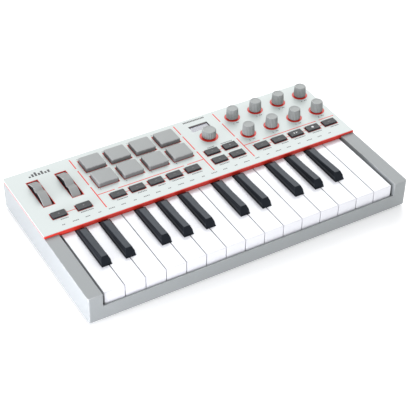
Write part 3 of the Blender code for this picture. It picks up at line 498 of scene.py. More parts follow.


# Black felt for the two strips, and for the floor sheet that paints shade in the key gaps.
felt_and_shade_sheet = moulded("black_felt_and_shade_sheet", (0.02, 0.02, 0.021), (0.01, 0.01, 0.011), (0.03, 0.03, 0.03),
               0.9, 0.6 * MM, 0.2 * MM, patch=10 * MM)
felt_and_shade_sheet_low = UNDERSIDE + FLOOR_THICKNESS + FELT_AND_SHADE_SHEET_LIFT
felt_and_shade_sheet_work = bmesh.new()
strip_half = (KEYS_HIGH[0] - FELT_SIDE_ROOM, FELT_WIDTH / 2)
shade_sheet_front = KEYS_LOW[1] + SHADE_SHEET_FRONT_ROOM
shade_sheet_half = (KEYS_HIGH[0] + SHADE_SHEET_OVERHANG, (SHADE_SHEET_REAR - shade_sheet_front) / 2)
# The first layer is the black floor sheet, painted shade between the keys; the other two are felt strips.
for layer_row, half, low in (
        (shade_sheet_front + shade_sheet_half[1], shade_sheet_half, felt_and_shade_sheet_low),
        (KEYS_LOW[1] + FELT_WIDTH, strip_half, felt_and_shade_sheet_low + FELT_AND_SHADE_SHEET_HEIGHT),
        (KEYS_LOW[1] + 4 * FELT_WIDTH, strip_half, felt_and_shade_sheet_low)):
    loft(felt_and_shade_sheet_work, [rounded_ring((0, layer_row), half, FELT_AND_SHADE_SHEET_ROUNDING, low)]
         + rounded_rings((0, layer_row), half, FELT_AND_SHADE_SHEET_ROUNDING, low + FELT_AND_SHADE_SHEET_HEIGHT,
                         FELT_AND_SHADE_SHEET_ROUNDING))
fit_piece(shade(new_piece("key_felts", felt_and_shade_sheet_work, felt_and_shade_sheet)), "case", "pad_grey")


# ---- Socket board -------------------------------------------------------------------
# A green board behind the rear wall carries a square data socket with a steel shell and a
# pedal jack with a steel sleeve. Its components are black plastic.

BOARD_FACE = 1.7 * MM
SHELL_HALF = (4.15 * MM, 3.8 * MM)
SHELL_WALL = 0.25 * MM
SHELL_DEPTH = 11.0 * MM
SHELL_CORNER = 0.8 * MM
SOCKET_SUNK = 0.1 * MM
TONGUE_HALF = (2.8 * MM, 1.6 * MM)
TONGUE_CORNER = 0.4 * MM
TONGUE_ROUNDING = 0.3 * MM
TONGUE_SUNK = 2.0 * MM
JACK_SLEEVE = (3.2 * MM, 2.75 * MM)
JACK_SLEEVE_DEPTH = 9.0 * MM
JACK_FLARE = 0.15 * MM
JACK_FLARE_DEPTH = 0.3 * MM


def stood_up(rings, centre, rear):
    """Turn level rings to face the rear wall, with their heights as distances inwards."""
    return [[Vector((centre[0] - point.x, rear - point.z, centre[1] + point.y))
             for point in ring] for ring in rings]


board_green = moulded("board_green_lacquer", (0.012, 0.09, 0.035), (0.008, 0.06, 0.022),
                      (0.05, 0.16, 0.08), 0.35, 0.5 * MM, 0.02 * MM, patch=9 * MM, coat=0.3)
socket_black = moulded("socket_plastic", (0.02, 0.02, 0.021), (0.013, 0.013, 0.014),
                       (0.08, 0.08, 0.08), 0.45, 0.25 * MM, 0.02 * MM, patch=6 * MM)
socket_steel = moulded("socket_steel", (0.6, 0.6, 0.61), (0.48, 0.48, 0.49),
                       (0.8, 0.8, 0.8), 0.3, 0.4 * MM, 0.01 * MM, patch=5 * MM, metallic=1.0)
openings = {opening["name"]: (Vector(opening["box_m"][0]) + Vector(opening["box_m"][1])) / 2
            for opening in frame["record"]["physics"]["openings"]}
usb_centre, jack_centre = openings["usb_socket"].xz, openings["pedal_jack"].xz
board_low, board_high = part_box("socket_board")
socket_rear = board_high[1]
socket_work = merged_copy("socket_board")
board_face = board_low[2] + BOARD_FACE
for face in socket_work.faces:
    face.material_index = 1 if face.calc_center_median().z > board_face else 0
break_edges(socket_work, lambda place: place.z > board_face, 0.2 * MM, least=60)
fit_piece(shade(new_piece("socket_board_made", socket_work, board_green, socket_black), 30),
          "case", "board_green", "socket_board")

metal_work = bmesh.new()
inner_half = tuple(side - SHELL_WALL for side in SHELL_HALF)
loft(metal_work, stood_up(
    [rounded_ring((0, 0), SHELL_HALF, SHELL_CORNER, SOCKET_SUNK),
     rounded_ring((0, 0), inner_half, SHELL_CORNER - SHELL_WALL, SOCKET_SUNK),
     rounded_ring((0, 0), inner_half, SHELL_CORNER - SHELL_WALL, SHELL_DEPTH),
     rounded_ring((0, 0), SHELL_HALF, SHELL_CORNER, SHELL_DEPTH)],
    usb_centre, socket_rear), worn=(0,), sleeve=True)
loft(metal_work, stood_up(
    [circle(JACK_SLEEVE[0], SOCKET_SUNK), circle(JACK_SLEEVE[1] + JACK_FLARE, SOCKET_SUNK),
     circle(JACK_SLEEVE[1], SOCKET_SUNK + JACK_FLARE_DEPTH),
     circle(JACK_SLEEVE[1], JACK_SLEEVE_DEPTH), circle(JACK_SLEEVE[0], JACK_SLEEVE_DEPTH)],
    jack_centre, socket_rear), worn=(0,), sleeve=True)
face_outwards(metal_work)
fit_piece(shade(new_piece("socket_metal", metal_work, socket_steel)), "case", "shaft_steel")

tongue_work = bmesh.new()
loft(tongue_work, stood_up(
    [rounded_ring((0, 0), TONGUE_HALF, TONGUE_CORNER, SHELL_DEPTH)]
    + [rounded_ring((0, 0), tuple(side - inset * TONGUE_ROUNDING for side in TONGUE_HALF),
                    TONGUE_CORNER - 0.05 * MM, TONGUE_SUNK - rise * TONGUE_ROUNDING)
       for inset, rise in quarter_arc()], usb_centre, socket_rear))
face_outwards(tongue_work)
fit_piece(shade(new_piece("socket_tongue", tongue_work, socket_black)), "case", "board_green")


# ---- Control board ------------------------------------------------------------------
# The long green board under the panel, with a switch under each button and a turn sensor
# under each knob. It is screwed to the posts of the tray, and shows only when opened.

frame["nodes"]["control_board"].material_slots[0].material = board_green


# ---- Display ------------------------------------------------------------------------
# A small monochrome screen: a black frame soldered over the control board, and a grey lit
# glass that shows through the window of the panel.

WINDOW_HALF = (10.55 * MM, 5.0 * MM)
BEZEL_WIDTH = 0.35 * MM
BEZEL_HEIGHT = 1.9 * MM
GLASS_CORNER = 0.4 * MM
GLASS_ROUNDING = 0.15 * MM
GLASS_BORDER = 0.25 * MM
GLASS_THICKNESS = 0.5 * MM
GLASS_LIFT = 0.01 * MM


def extent(node):
    """A frame node's middle and half size, seen from above, and its lowest and top heights."""
    low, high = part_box(node)
    return (((low[0] + high[0]) / 2, (low[1] + high[1]) / 2),
            ((high[0] - low[0]) / 2, (high[1] - low[1]) / 2), low[2], high[2])


screen_centre, base_half, screen_foot, screen_top = extent("display_module")
base_top = screen_top - BEZEL_HEIGHT
bezel_half = tuple(side + BEZEL_WIDTH for side in WINDOW_HALF)
bezel_black = moulded("screen_frame", (0.018, 0.018, 0.02), (0.012, 0.012, 0.014),
                      (0.07, 0.07, 0.07), 0.4, 0.2 * MM, 0.01 * MM, patch=6 * MM)
screen_glass = moulded("screen_glass", (0.215, 0.225, 0.27), (0.19, 0.2, 0.245),
                       (0.5, 0.5, 0.56), 0.22, 0.35 * MM, 0.004 * MM, patch=12 * MM,
                       coat=0.6)
bezel_work = bmesh.new()
loft(bezel_work, [
    rounded_ring(screen_centre, base_half, GLASS_CORNER, screen_foot),
    rounded_ring(screen_centre, base_half, GLASS_CORNER, base_top),
    rounded_ring(screen_centre, bezel_half, GLASS_CORNER, base_top)]
    + rounded_rings(screen_centre, bezel_half, GLASS_CORNER,
                    screen_top - GLASS_THICKNESS, GLASS_ROUNDING), worn=(3, 4))
fit_piece(shade(new_piece("screen_frame", bezel_work, bezel_black)), "case", "screen_grey",
          "display_module")
glass_work = bmesh.new()
glass_half = tuple(side - GLASS_BORDER for side in WINDOW_HALF)
loft(glass_work, [rounded_ring(screen_centre, glass_half, GLASS_CORNER,
                               screen_top - GLASS_THICKNESS + GLASS_LIFT)]
     + rounded_rings(screen_centre, glass_half, GLASS_CORNER, screen_top, GLASS_ROUNDING))
fit_piece(shade(new_piece("screen_glass", glass_work, screen_glass)), "case", "screen_grey")


# ---- Carrier ------------------------------------------------------------------------
# One red ABS moulding closes the case behind the keys. Its edge shows as a thin red line
# round the panel, and its collars as a thin red frame round every control.

COLLAR_EDGE = 0.1 * MM
CARRIER_REDS = ((0.83, 0.042, 0.024), (0.74, 0.034, 0.02), (0.86, 0.1, 0.07))
PANEL_LOW, PANEL_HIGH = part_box("face_panel")
PANEL_TOP = PANEL_HIGH[2]

carrier_plastic = moulded("carrier_plastic", *CARRIER_REDS, 0.45, 0.3 * MM, 0.02 * MM,
                          patch=20 * MM)
carrier_work = merged_copy("top_case")
break_edges(carrier_work, lambda place: place.z > PANEL_TOP - 0.1 * MM, COLLAR_EDGE,
            least=60)
fit_piece(shade(new_piece("carrier", carrier_work, carrier_plastic), 30), "case",
          "carrier_red", "top_case")


# ---- Face panel ---------------------------------------------------------------------
# A white sheet on the carrier, cut out round the collars and the window, and printed in
# red and dark grey. The lettering is left as rows of plain blocks.

PANEL_EDGE = 0.18 * MM
PANEL_BORDER = 3 * MM
PANEL_WHITES = ((0.68, 0.735, 0.72), (0.65, 0.705, 0.69), (0.83, 0.85, 0.84))
PRINT_SUNK = 0.05 * MM
PRINT_PROUD = 0.03 * MM
BUTTON_HALF = (7.05 * MM, 3.95 * MM)
PAD_PITCH = (26.5 * MM, 26.1 * MM)
DIVIDER_WIDTH = 1.15 * MM
DIVIDER_ENDS = (33.3 * MM, 15.5 * MM)
DIVIDER_SHIFTS = (29.7 * MM, 2.0 * MM, -1.6 * MM)
DIVIDER_FRONT = 11.5 * MM
DIVIDER_REAR_ROOM = 3.7 * MM
LINE_WIDTH = 0.95 * MM
LINE_ENDS = (17.6 * MM, 17.6 * MM)
LINE_GAP = 3.5 * MM
LINE_BEHIND_BUTTONS = 8.3 * MM
LINE_SIDE_ROOM = 2.2 * MM
LINE_INSET = 0.5 * MM
LINK_WIDTH = 0.75 * MM
LINK_ROOM = 1.0 * MM
LINK_LONGEST = 26 * MM
LABEL_HEIGHT = 1.0 * MM
LABEL_BLOCK = 1.15 * MM
LABEL_PITCH = 1.6 * MM
BUTTON_LABEL_DROP = 7.2 * MM
BUTTON_LABEL_END = 6.8 * MM
KEY_LABELS_ROOM = 7.0 * MM
KNOB_LABEL = (-1.2 * MM, -10.4 * MM)
BARS_START = (-143.0 * MM, 11.0 * MM)
BARS_WIDTH = 2.0 * MM
BARS_PITCH = 3.2 * MM
BARS_HEIGHTS = (2.2, 4.4, 6.0, 3.4, 5.2, 2.8, 4.0)
TITLE_START = (24 * MM, 4.2 * MM)
TITLE_SIZE = (24 * MM, 2.2 * MM)
DIGIT_SIZE = 3.0 * MM
PAD_DIGIT_X = -10.6 * MM
PAD_DIGIT_FRONT = -13.3 * MM
PAD_DIGIT_REAR = 11.2 * MM
KNOB_DIGIT = (-5.4 * MM, -11.6 * MM)

panel_lacquer = moulded("panel_lacquer", *PANEL_WHITES, 0.42, 0.3 * MM, 0.015 * MM,
                        patch=40 * MM, specular=0.35)
panel_work = merged_copy("face_panel")
break_edges(panel_work, lambda place: place.z > PANEL_TOP - 0.05 * MM and (
    abs(place.x) > PANEL_HIGH[0] - PANEL_BORDER or place.y > PANEL_HIGH[1] - PANEL_BORDER),
    PANEL_EDGE)
fit_piece(shade(new_piece("panel_sheet", panel_work, panel_lacquer), 30), "case",
          "panel_white", "face_panel")

button_nodes = sorted(node for node in frame["nodes"] if "_button" in node)
buttons = {node: Vector((*extent(node)[0], PANEL_TOP)) for node in button_nodes}
joint_places = {joint["name"]: Vector(joint["pos_m"])
                for joint in frame["joints"] if "pos_m" in joint}
knobs = {f"knob_{number}": joint_places[f"knob_{number}_turn"] for number in range(1, 9)}
pad_centre, pad_sheet_half, pad_foot, pad_top = extent("pad_mat")
pads = [Vector((pad_centre[0] + (column - 1.5) * PAD_PITCH[0],
                pad_centre[1] + (line - 0.5) * PAD_PITCH[1], PANEL_TOP))
        for line in range(2) for column in range(4)]


def bar(low_x, low_y, high_x, high_y):
    """The middle and the size of a printed bar, from two of its corners."""
    return ((low_x + high_x) / 2, (low_y + high_y) / 2), (high_x - low_x, high_y - low_y)


def broken_line(start, end, ends, across, width):
    """A printed line along X in three parts, with the lengths of its two end parts given."""
    cuts = [start, start + ends[0], start + ends[0] + LINE_GAP,
            end - ends[1] - LINE_GAP, end - ends[1], end]
    return [bar(first, across - width / 2, last, across + width / 2)
            for first, last in zip(cuts[::2], cuts[1::2])]


def label(x, y, length, height=LABEL_HEIGHT):
    """A row of small blocks where a printed word stands, starting at x."""
    count = max(1, round(length / LABEL_PITCH))
    return [bar(x + index * LABEL_PITCH, y - height / 2,
                x + index * LABEL_PITCH + LABEL_BLOCK, y + height / 2)
            for index in range(count)]


def print_tree(finish):
    """A thin block on every point, as wide and deep as the point says."""
    tree, given = geometry_tree("printed_bars", {"Thickness": "Float"})
    size = add_node(tree, "ShaderNodeCombineXYZ", {"X": 1, "Y": 1, "Z": given["Thickness"]})
    block = add_node(tree, "GeometryNodeMeshCube", {"Size": size.outputs["Vector"]})
    stretch = add_node(tree, "GeometryNodeInputNamedAttribute", {"Name": "stretch"},
                       data_type="FLOAT_VECTOR")
    placed = add_node(tree, "GeometryNodeInstanceOnPoints", {
        "Points": given["Geometry"], "Instance": block.outputs["Mesh"],
        "Scale": stretch.outputs["Attribute"]})
    end_tree(tree, placed.outputs["Instances"], finish)
    return tree


def printed(name, bars, finish, slot):
    """One printed layer on the panel, made of bars."""
    points = bmesh.new()
    stretch = points.verts.layers.float_vector.new("stretch")
    thickness = PRINT_SUNK + PRINT_PROUD
    for (x, y), (width, depth) in bars:
        point = points.verts.new((x, y, PANEL_TOP + PRINT_PROUD - thickness / 2))
        point[stretch] = (width, depth, 1)
    piece = grow(name, new_piece(f"{name}_points", points), print_tree(finish),
                 {"Thickness": thickness}, finish)
    fit_piece(piece, "case", slot)


red_ink = moulded("red_ink", *CARRIER_REDS, 0.5, 0.2 * MM, 0.01 * MM, patch=15 * MM)
dark_ink = moulded("dark_ink", (0.05, 0.052, 0.056), (0.035, 0.037, 0.04), (0.12, 0.12, 0.12),
                   0.5, 0.2 * MM, 0.01 * MM, patch=15 * MM)
row_y = buttons["pad_button_1"].y
dividers = [
    (buttons[left].x + buttons[right].x) / 2 + shift for left, right, shift in zip(
        ("octave_down_button", "pad_button_5", "menu_button_4"),
        ("octave_up_button", "menu_button_3", "transport_button_1"), DIVIDER_SHIFTS)]
red_bars = []
for divider in dividers:
    parts = broken_line(row_y - DIVIDER_FRONT, PANEL_HIGH[1] - DIVIDER_REAR_ROOM,
                        DIVIDER_ENDS, divider, DIVIDER_WIDTH)
    red_bars += [(middle[::-1], size[::-1]) for middle, size in parts]
for first, last in ((dividers[0], dividers[1]),
                    (dividers[2], PANEL_HIGH[0] - LINE_SIDE_ROOM)):
    red_bars += broken_line(first + LINE_INSET, last - LINE_INSET, LINE_ENDS,
                            row_y + LINE_BEHIND_BUTTONS, LINE_WIDTH)
by_place = sorted(buttons.values(), key=lambda place: (round(place.y, 3), place.x))
for left, right in zip(by_place, by_place[1:]):
    close = right.x - left.x < LINK_LONGEST and abs(left.y - right.y) < 1 * MM
    if close and not any(left.x < divider < right.x for divider in dividers):
        reach = BUTTON_HALF[0] + LINK_ROOM
        red_bars.append(bar(left.x + reach, left.y - LINK_WIDTH / 2,
                            right.x - reach, left.y + LINK_WIDTH / 2))
printed("printed_lines", red_bars, red_ink, "carrier_red")

words = []
for number, node in enumerate(button_nodes):
    place = buttons[node]
    length = (5 + (number * 3) % 4) * LABEL_PITCH
    way = 1 if node in ("menu_button_1", "menu_button_2") else -1
    words += label(place.x + BUTTON_LABEL_END - length, place.y + way * BUTTON_LABEL_DROP,
                   length)
key_count = len(WHITE_KEYS) + len(BLACK_KEYS)
tick_pitch = (KEYS_HIGH[0] - KEYS_LOW[0]) / key_count
for index in range(key_count):
    length = (2 + (index * 2) % 3) * LABEL_PITCH
    middle = KEYS_LOW[0] + (index + 0.5) * tick_pitch
    words += label(middle - length / 2, PANEL_LOW[1] + KEY_LABELS_ROOM, length)
for index, height in enumerate(BARS_HEIGHTS):
    x = BARS_START[0] + index * BARS_PITCH
    y = PANEL_HIGH[1] - BARS_START[1]
    words.append(bar(x, y, x + BARS_WIDTH, y + height * MM))
words += label(TITLE_START[0], PANEL_HIGH[1] - TITLE_START[1], *TITLE_SIZE)
for place in knobs.values():
    words += label(place.x + KNOB_LABEL[0], place.y + KNOB_LABEL[1], 2 * LABEL_PITCH)
printed("printed_words", words, dark_ink, "button_grey")


def print_digit(work, text, place):
    """A printed figure with its lower left corner at a place on the panel."""
    curve = bpy.data.curves.new("digit", "FONT")
    curve.body = text
    curve.size = DIGIT_SIZE
    curve.extrude = PRINT_PROUD
    writer = bpy.data.objects.new("digit", curve)
    scene.collection.objects.link(writer)
    ready = writer.evaluated_get(bpy.context.evaluated_depsgraph_get())
    figure = bpy.data.meshes.new_from_object(ready)
    bpy.data.objects.remove(writer)
    figure.transform(Matrix.Translation((*place, PANEL_TOP)))
    work.from_mesh(figure)
    bpy.data.meshes.remove(figure)


digits_work = bmesh.new()
for number, place in enumerate(pads, 1):
    offset = PAD_DIGIT_REAR if number > 4 else PAD_DIGIT_FRONT
    print_digit(digits_work, str(number), (place.x + PAD_DIGIT_X, place.y + offset))
for number, place in enumerate(knobs.values(), 1):
    print_digit(digits_work, str(number), (place.x + KNOB_DIGIT[0], place.y + KNOB_DIGIT[1]))
bmesh.ops.remove_doubles(digits_work, verts=digits_work.verts, dist=0.0001 * MM)
fit_piece(new_piece("printed_numbers", digits_work, dark_ink), "case", "button_grey")


# ---- White keys ---------------------------------------------------------------------
# Glossy white ABS keys, hollow underneath, notched where the black keys stand. Each clips
# on the hinge bar with its tail. The front edge is well rounded, the sides only a little.

KEY_SIDE_EDGE = 0.25 * MM
KEY_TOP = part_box(WHITE_KEYS[0])[1][2]
KEY_WHITES = ((0.88, 0.885, 0.925), (0.85, 0.855, 0.90), (0.92, 0.92, 0.94))

key_white = moulded("white_key_gloss", *KEY_WHITES, 0.25, 0.5 * MM, 0.004 * MM,
                    patch=30 * MM, coat=0.35)
for node in WHITE_KEYS:
    work = merged_copy(node)
    break_edges(work, lambda place: place.z > KEY_TOP - 0.05 * MM
                or place.y < KEYS_LOW[1] + 0.05 * MM, KEY_SIDE_EDGE, segments=3, least=60)
    fit_piece(shade(new_piece(f"{node}_gloss", work, key_white)), node, "key_white", node)


# ---- Black keys ---------------------------------------------------------------------
# Black ABS keys with a sloping nose and leaning sides, moulded satin so that fingers don't
# slip. The upper edges are rounded.

BLACK_EDGE = 0.6 * MM
KEY_BLACKS = ((0.0065, 0.0075, 0.0105), (0.005, 0.006, 0.0085), (0.03, 0.032, 0.038))
BLACK_SHEEN = (0.72, 0.84, 1.0)

key_black = moulded("black_key_satin", *KEY_BLACKS, 0.42, 0.35 * MM, 0.015 * MM,
                    patch=20 * MM, specular=0.34, tint=BLACK_SHEEN)
for node in BLACK_KEYS:
    work = merged_copy(node)
    break_edges(work, lambda place: place.z > KEY_TOP + 1 * MM, BLACK_EDGE, segments=3,
                least=20)
    fit_piece(shade(new_piece(f"{node}_satin", work, key_black)), node, "key_black", node)


# ---- Pads ---------------------------------------------------------------------------
# Eight soft grey pads moulded in one silicone sheet. Each has a crowned top and a well
# rounded rim, and the sheet lies on the control board.

PAD_CROWN = 0.35 * MM
PAD_CORNER = 1.6 * MM
PAD_ROUNDING = 1.3 * MM
PAD_SHEET = 1.2 * MM
PAD_GREYS = ((0.40, 0.415, 0.41), (0.365, 0.38, 0.38), (0.43, 0.435, 0.43))
# The upright sides of the pads are painted darker: painted shade.
PAD_SIDE_PAINTED_SHADE = (0.21, 0.21, 0.21)
CROWN_STEPS = 7
PAD_HALF = (10.4 * MM, 9.6 * MM)

pad_silicone = moulded("pad_silicone", *PAD_GREYS, 0.62, 0.3 * MM, 0.02 * MM,
                       patch=14 * MM, specular=0.35, side=PAD_SIDE_PAINTED_SHADE)


def crowned(centre, half, corner, top, rounding, crown):
    """Rings from the side of a block over its rounded rim to a crowned or hollow middle."""
    rim = top - max(crown, 0.0)
    rings = rounded_rings(centre, half, corner, rim, rounding)
    flat = (half[0] - rounding, half[1] - rounding)
    for step in range(1, CROWN_STEPS):
        reach = 1 - step / CROWN_STEPS
        rings.append(rounded_ring(
            centre, (flat[0] * reach, flat[1] * reach),
            max((corner - rounding) * reach, 0.04 * MM) + 0.3 * MM * (1 - reach) * reach,
            rim + crown * (1 - reach * reach)))
    return rings


def mark_sides(work, steepest=0.6):
    """Mark the upright faces of a piece as its sides, which take a darker colour: painted shade."""
    side = work.faces.layers.float.new("side")
    face_outwards(work)
    for face in work.faces:
        face[side] = 1.0 if abs(face.normal.z) < steepest else 0.0


sheet_top = pad_foot + PAD_SHEET
pad_work = bmesh.new()
loft(pad_work, [rounded_ring((0, 0), PAD_HALF, PAD_CORNER, sheet_top - PANEL_TOP)]
     + crowned((0, 0), PAD_HALF, PAD_CORNER, pad_top - PANEL_TOP, PAD_ROUNDING, PAD_CROWN),
     worn=(2, 3, 4))
# The upright faces take the darker side colour, which is painted shade.
mark_sides(pad_work)
pad_blocks = stamped("pads", pads, new_piece("pad", pad_work), pad_silicone)
fit_piece(pad_blocks, "case", "pad_grey", "pad_mat")
sheet_work = bmesh.new()
loft(sheet_work, [rounded_ring(pad_centre, pad_sheet_half, PAD_CORNER, height)
                  for height in (pad_foot, sheet_top - 0.01 * MM)])
fit_piece(shade(new_piece("pad_sheet", sheet_work, pad_silicone)), "case", "pad_grey")


# ---- Buttons ------------------------------------------------------------------------
# Dark grey ABS caps with a shallow dish, each held under the carrier by its lip and
# standing on a small switch. A plain sign is printed on each.

CAP_CORNER = 0.9 * MM
CAP_ROUNDING = 0.6 * MM
CAP_DISH = -0.18 * MM
LIP = 0.9 * MM
LIP_DEPTH = 4.5 * MM
LIP_THICKNESS = 1.0 * MM
STEM_HALF = (1.5 * MM, 1.5 * MM)
CAP_GREYS = ((0.031, 0.034, 0.038), (0.025, 0.028, 0.032), (0.13, 0.135, 0.14))

cap_plastic = moulded("button_plastic", *CAP_GREYS, 0.5, 0.25 * MM, 0.02 * MM,
                      patch=8 * MM, specular=0.35)
sign_white = moulded("sign_white", (0.75, 0.76, 0.76), (0.68, 0.7, 0.7), (0.8, 0.8, 0.8),
                     0.5, 0.2 * MM, 0.01 * MM, patch=6 * MM)
sign_faint = moulded("sign_faint", (0.17, 0.175, 0.18), (0.14, 0.145, 0.15),
                     (0.25, 0.25, 0.25), 0.5, 0.2 * MM, 0.01 * MM, patch=6 * MM)


def flat_sign(work, corners, centre, height):
    """A thin printed shape on a cap, from the corners of its outline."""
    bottom = [Vector((centre[0] + x, centre[1] + y, height)) for x, y, *_ in corners]
    top = [corner + Vector((0, 0, 2 * PRINT_PROUD)) for corner in bottom]
    loft(work, [bottom, top])


def square_corners(x, y, half_x, half_y):
    return [(x - half_x, y - half_y), (x + half_x, y - half_y),
            (x + half_x, y + half_y), (x - half_x, y + half_y)]


def triangle_corners(x, y, reach, way=1):
    corners = [(x - way * reach * 0.6, y - reach * 0.75), (x + way * reach * 0.75, y),
               (x - way * reach * 0.6, y + reach * 0.75)]
    return corners if way > 0 else corners[::-1]


SIGNS = {
    "octave_down_button": (sign_faint, [triangle_corners(0, 0, 1.2 * MM, -1)]),
    "octave_up_button": (sign_faint, [triangle_corners(0, 0, 1.2 * MM)]),
    "menu_button_2": (sign_faint, [circle(0.8 * MM, 0, points=20)]),
    "transport_button_3": (sign_white, [
        square_corners(-2.4 * MM, 0, 0.9 * MM, 0.9 * MM),
        triangle_corners(0.9 * MM, 0, 1.5 * MM),
        square_corners(3.0 * MM, 0, 0.3 * MM, 1.1 * MM)]),
    "transport_button_4": (sign_white, [circle(1.3 * MM, 0, points=20)]),
    "transport_button_5": (sign_faint, [square_corners(0, 0, 1.6 * MM, 0.35 * MM)]),
}
PLAIN_SIGN = (sign_faint, [square_corners(0, 0, 1.1 * MM, 0.2 * MM)])
lip_half = tuple(side + LIP for side in BUTTON_HALF)
lip_low = PANEL_TOP - LIP_DEPTH
lip_high = lip_low + LIP_THICKNESS
for node in button_nodes:
    centre, _, stem_foot, cap_top = extent(node)
    work = bmesh.new()
    loft(work, [
        rounded_ring(centre, STEM_HALF, 0.3 * MM, stem_foot),
        rounded_ring(centre, STEM_HALF, 0.3 * MM, lip_low),
        rounded_ring(centre, lip_half, CAP_CORNER, lip_low),
        rounded_ring(centre, lip_half, CAP_CORNER, lip_high),
        rounded_ring(centre, BUTTON_HALF, CAP_CORNER, lip_high)]
        + crowned(centre, BUTTON_HALF, CAP_CORNER, cap_top, CAP_ROUNDING, CAP_DISH),
        worn=(6, 7, 8))
    fit_piece(shade(new_piece(f"{node}_cap", work, cap_plastic)), node, "button_grey", node)
    finish, shapes = SIGNS.get(node, PLAIN_SIGN)
    sign_work = bmesh.new()
    for corners in shapes:
        flat_sign(sign_work, corners, centre, cap_top + CAP_DISH - PRINT_PROUD)
    fit_piece(new_piece(f"{node}_sign", sign_work, finish), node, "button_grey")


# ---- Wheels -------------------------------------------------------------------------
# Pitch and modulation wheels: black discs with a light grey rubber tread that has a finger
# dimple in it. Each hangs by its axle in a cradle of the tray.

AXLE_OVERHANG = 2.6 * MM
WHEEL_RADIUS = 29.5 * MM
WHEEL_SPAN = math.radians(66)
MOD_LEAN = math.radians(11)
WHEEL_DIMPLE = 2.8 * MM
WHEEL_DIMPLE_SPREAD = math.radians(7)
WHEEL_HUB = 3.0 * MM
WHEEL_EDGE = 0.5 * MM
TREAD_WRAP = 0.25 * MM
TREAD_DEPTH = 3.5 * MM
WINDOW_SHARE = 0.45
WINDOW_CENTRE = 14.0 * MM
AXLE_RADIUS = 1.5 * MM
TREAD_STEPS = 96
GRIP_DEPTH = 0.13 * MM
HUB_STEPS = 16
TREAD_GREYS = ((0.33, 0.34, 0.335), (0.28, 0.29, 0.285), (0.42, 0.42, 0.42))
WHEEL_BLACKS = ((0.005, 0.005, 0.0055), (0.003, 0.003, 0.0035), (0.02, 0.02, 0.02))

tread_rubber = moulded("tread_rubber", *TREAD_GREYS, 0.6, 0.3 * MM, 0.03 * MM,
                       patch=10 * MM)
wheel_black = moulded("wheel_plastic", *WHEEL_BLACKS, 0.5, 0.3 * MM, 0.02 * MM,
                      patch=10 * MM, specular=0.2)


def wheel_outline(lean, inset):
    """The tread and hub outline of a wheel, as (y, z) points from its axle."""
    outline = []
    for step in range(TREAD_STEPS + 1):
        angle = WHEEL_SPAN * (2 * step / TREAD_STEPS - 1)
        dimple = WHEEL_DIMPLE * math.exp(-(angle / WHEEL_DIMPLE_SPREAD) ** 2)
        reach = WHEEL_RADIUS - dimple - inset - GRIP_DEPTH * (step % 2)
        outline.append((-reach * math.sin(lean + angle), reach * math.cos(lean + angle)))
    for step in range(HUB_STEPS + 1):
        angle = lean + math.pi + WHEEL_SPAN * (2 * step / HUB_STEPS - 1)
        reach = WHEEL_HUB - inset / 2
        outline.append((-reach * math.sin(angle), reach * math.cos(angle)))
    return outline


def axle_ring(axle, x, outline):
    """An upright ring of points across an axle, from (y, z) points round it."""
    return [Vector((axle.x + x, axle.y + y, axle.z + z)) for y, z in outline]


def wheel_rings(axle, lean, half):
    """Rings across a wheel, from the window's left rim over the tread to its right rim."""
    middle = (-WINDOW_CENTRE * math.sin(lean), WINDOW_CENTRE * math.cos(lean))
    window = [(middle[0] + WINDOW_SHARE * (y - middle[0]),
               middle[1] + WINDOW_SHARE * (z - middle[1]))
              for y, z in wheel_outline(lean, 0.0)]
    profile = [(half, WHEEL_EDGE + TREAD_WRAP)]
    profile += [(half - WHEEL_EDGE * inset, WHEEL_EDGE * (1 - rise))
                for inset, rise in quarter_arc()]
    outer = [(-x, inset) for x, inset in profile] + profile[::-1]
    return ([axle_ring(axle, -half, window)]
            + [axle_ring(axle, x, wheel_outline(lean, inset)) for x, inset in outer]
            + [axle_ring(axle, half, window)])


axle_end = [point.xy for point in circle(AXLE_RADIUS, 0, points=24)]
for node in ("pitch_wheel", "mod_wheel"):
    axle = joint_places[f"{node}_turn"]
    low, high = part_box(node)
    half_width = (high[0] - low[0]) / 2 - AXLE_OVERHANG
    work = bmesh.new()
    rings = wheel_rings(axle, MOD_LEAN if node == "mod_wheel" else 0.0, half_width)
    loft(work, rings, worn=(3, 4, len(rings) - 6, len(rings) - 5), sleeve=True)
    for face in work.faces:
        place = face.calc_center_median() - axle
        reach = place.yz.length
        bare_side = (abs(place.x) > half_width - 0.02 * MM
                     and reach < WHEEL_RADIUS - WHEEL_EDGE - TREAD_WRAP)
        face.material_index = 1 if bare_side or reach <= WHEEL_RADIUS - TREAD_DEPTH else 0
    loft(work, [axle_ring(axle, end - axle.x, axle_end) for end in (low[0], high[0])])
    face_outwards(work)
    piece = new_piece(f"{node}_tread", work, tread_rubber, wheel_black)
    fit_piece(shade(piece, 50), node, "wheel_grey", node)


# ---- Knobs --------------------------------------------------------------------------
# Grey ABS knobs pushed on the shafts of the turn sensors. Fine ribs run up the side, and
# the top is a shallow dish inside a rounded rim.

KNOB_CORE = 5.9 * MM
KNOB_NECK = 5.3 * MM
KNOB_ROUNDING = 0.7 * MM
KNOB_DISH = 0.45 * MM
KNOB_LIFT = 0.6 * MM
KNOB_FOOT_EDGE = 0.25 * MM
KNOB_RIBS = 24
RIB_RADIUS = 0.42 * MM
RIB_RUB = 0.45
RIB_LIFT = 0.6 * MM
RIB_SUNK = 0.02 * MM
SHAFT_RADIUS = 3.0 * MM
KNOB_GREYS = ((0.36, 0.38, 0.375), (0.33, 0.35, 0.345), (0.50, 0.52, 0.515))
# The upright side of a knob is painted darker: painted shade.
KNOB_SIDE_PAINTED_SHADE = (0.27, 0.28, 0.275)

knob_plastic = moulded("knob_plastic", *KNOB_GREYS, 0.5, 0.3 * MM, 0.02 * MM,
                       patch=9 * MM, side=KNOB_SIDE_PAINTED_SHADE)


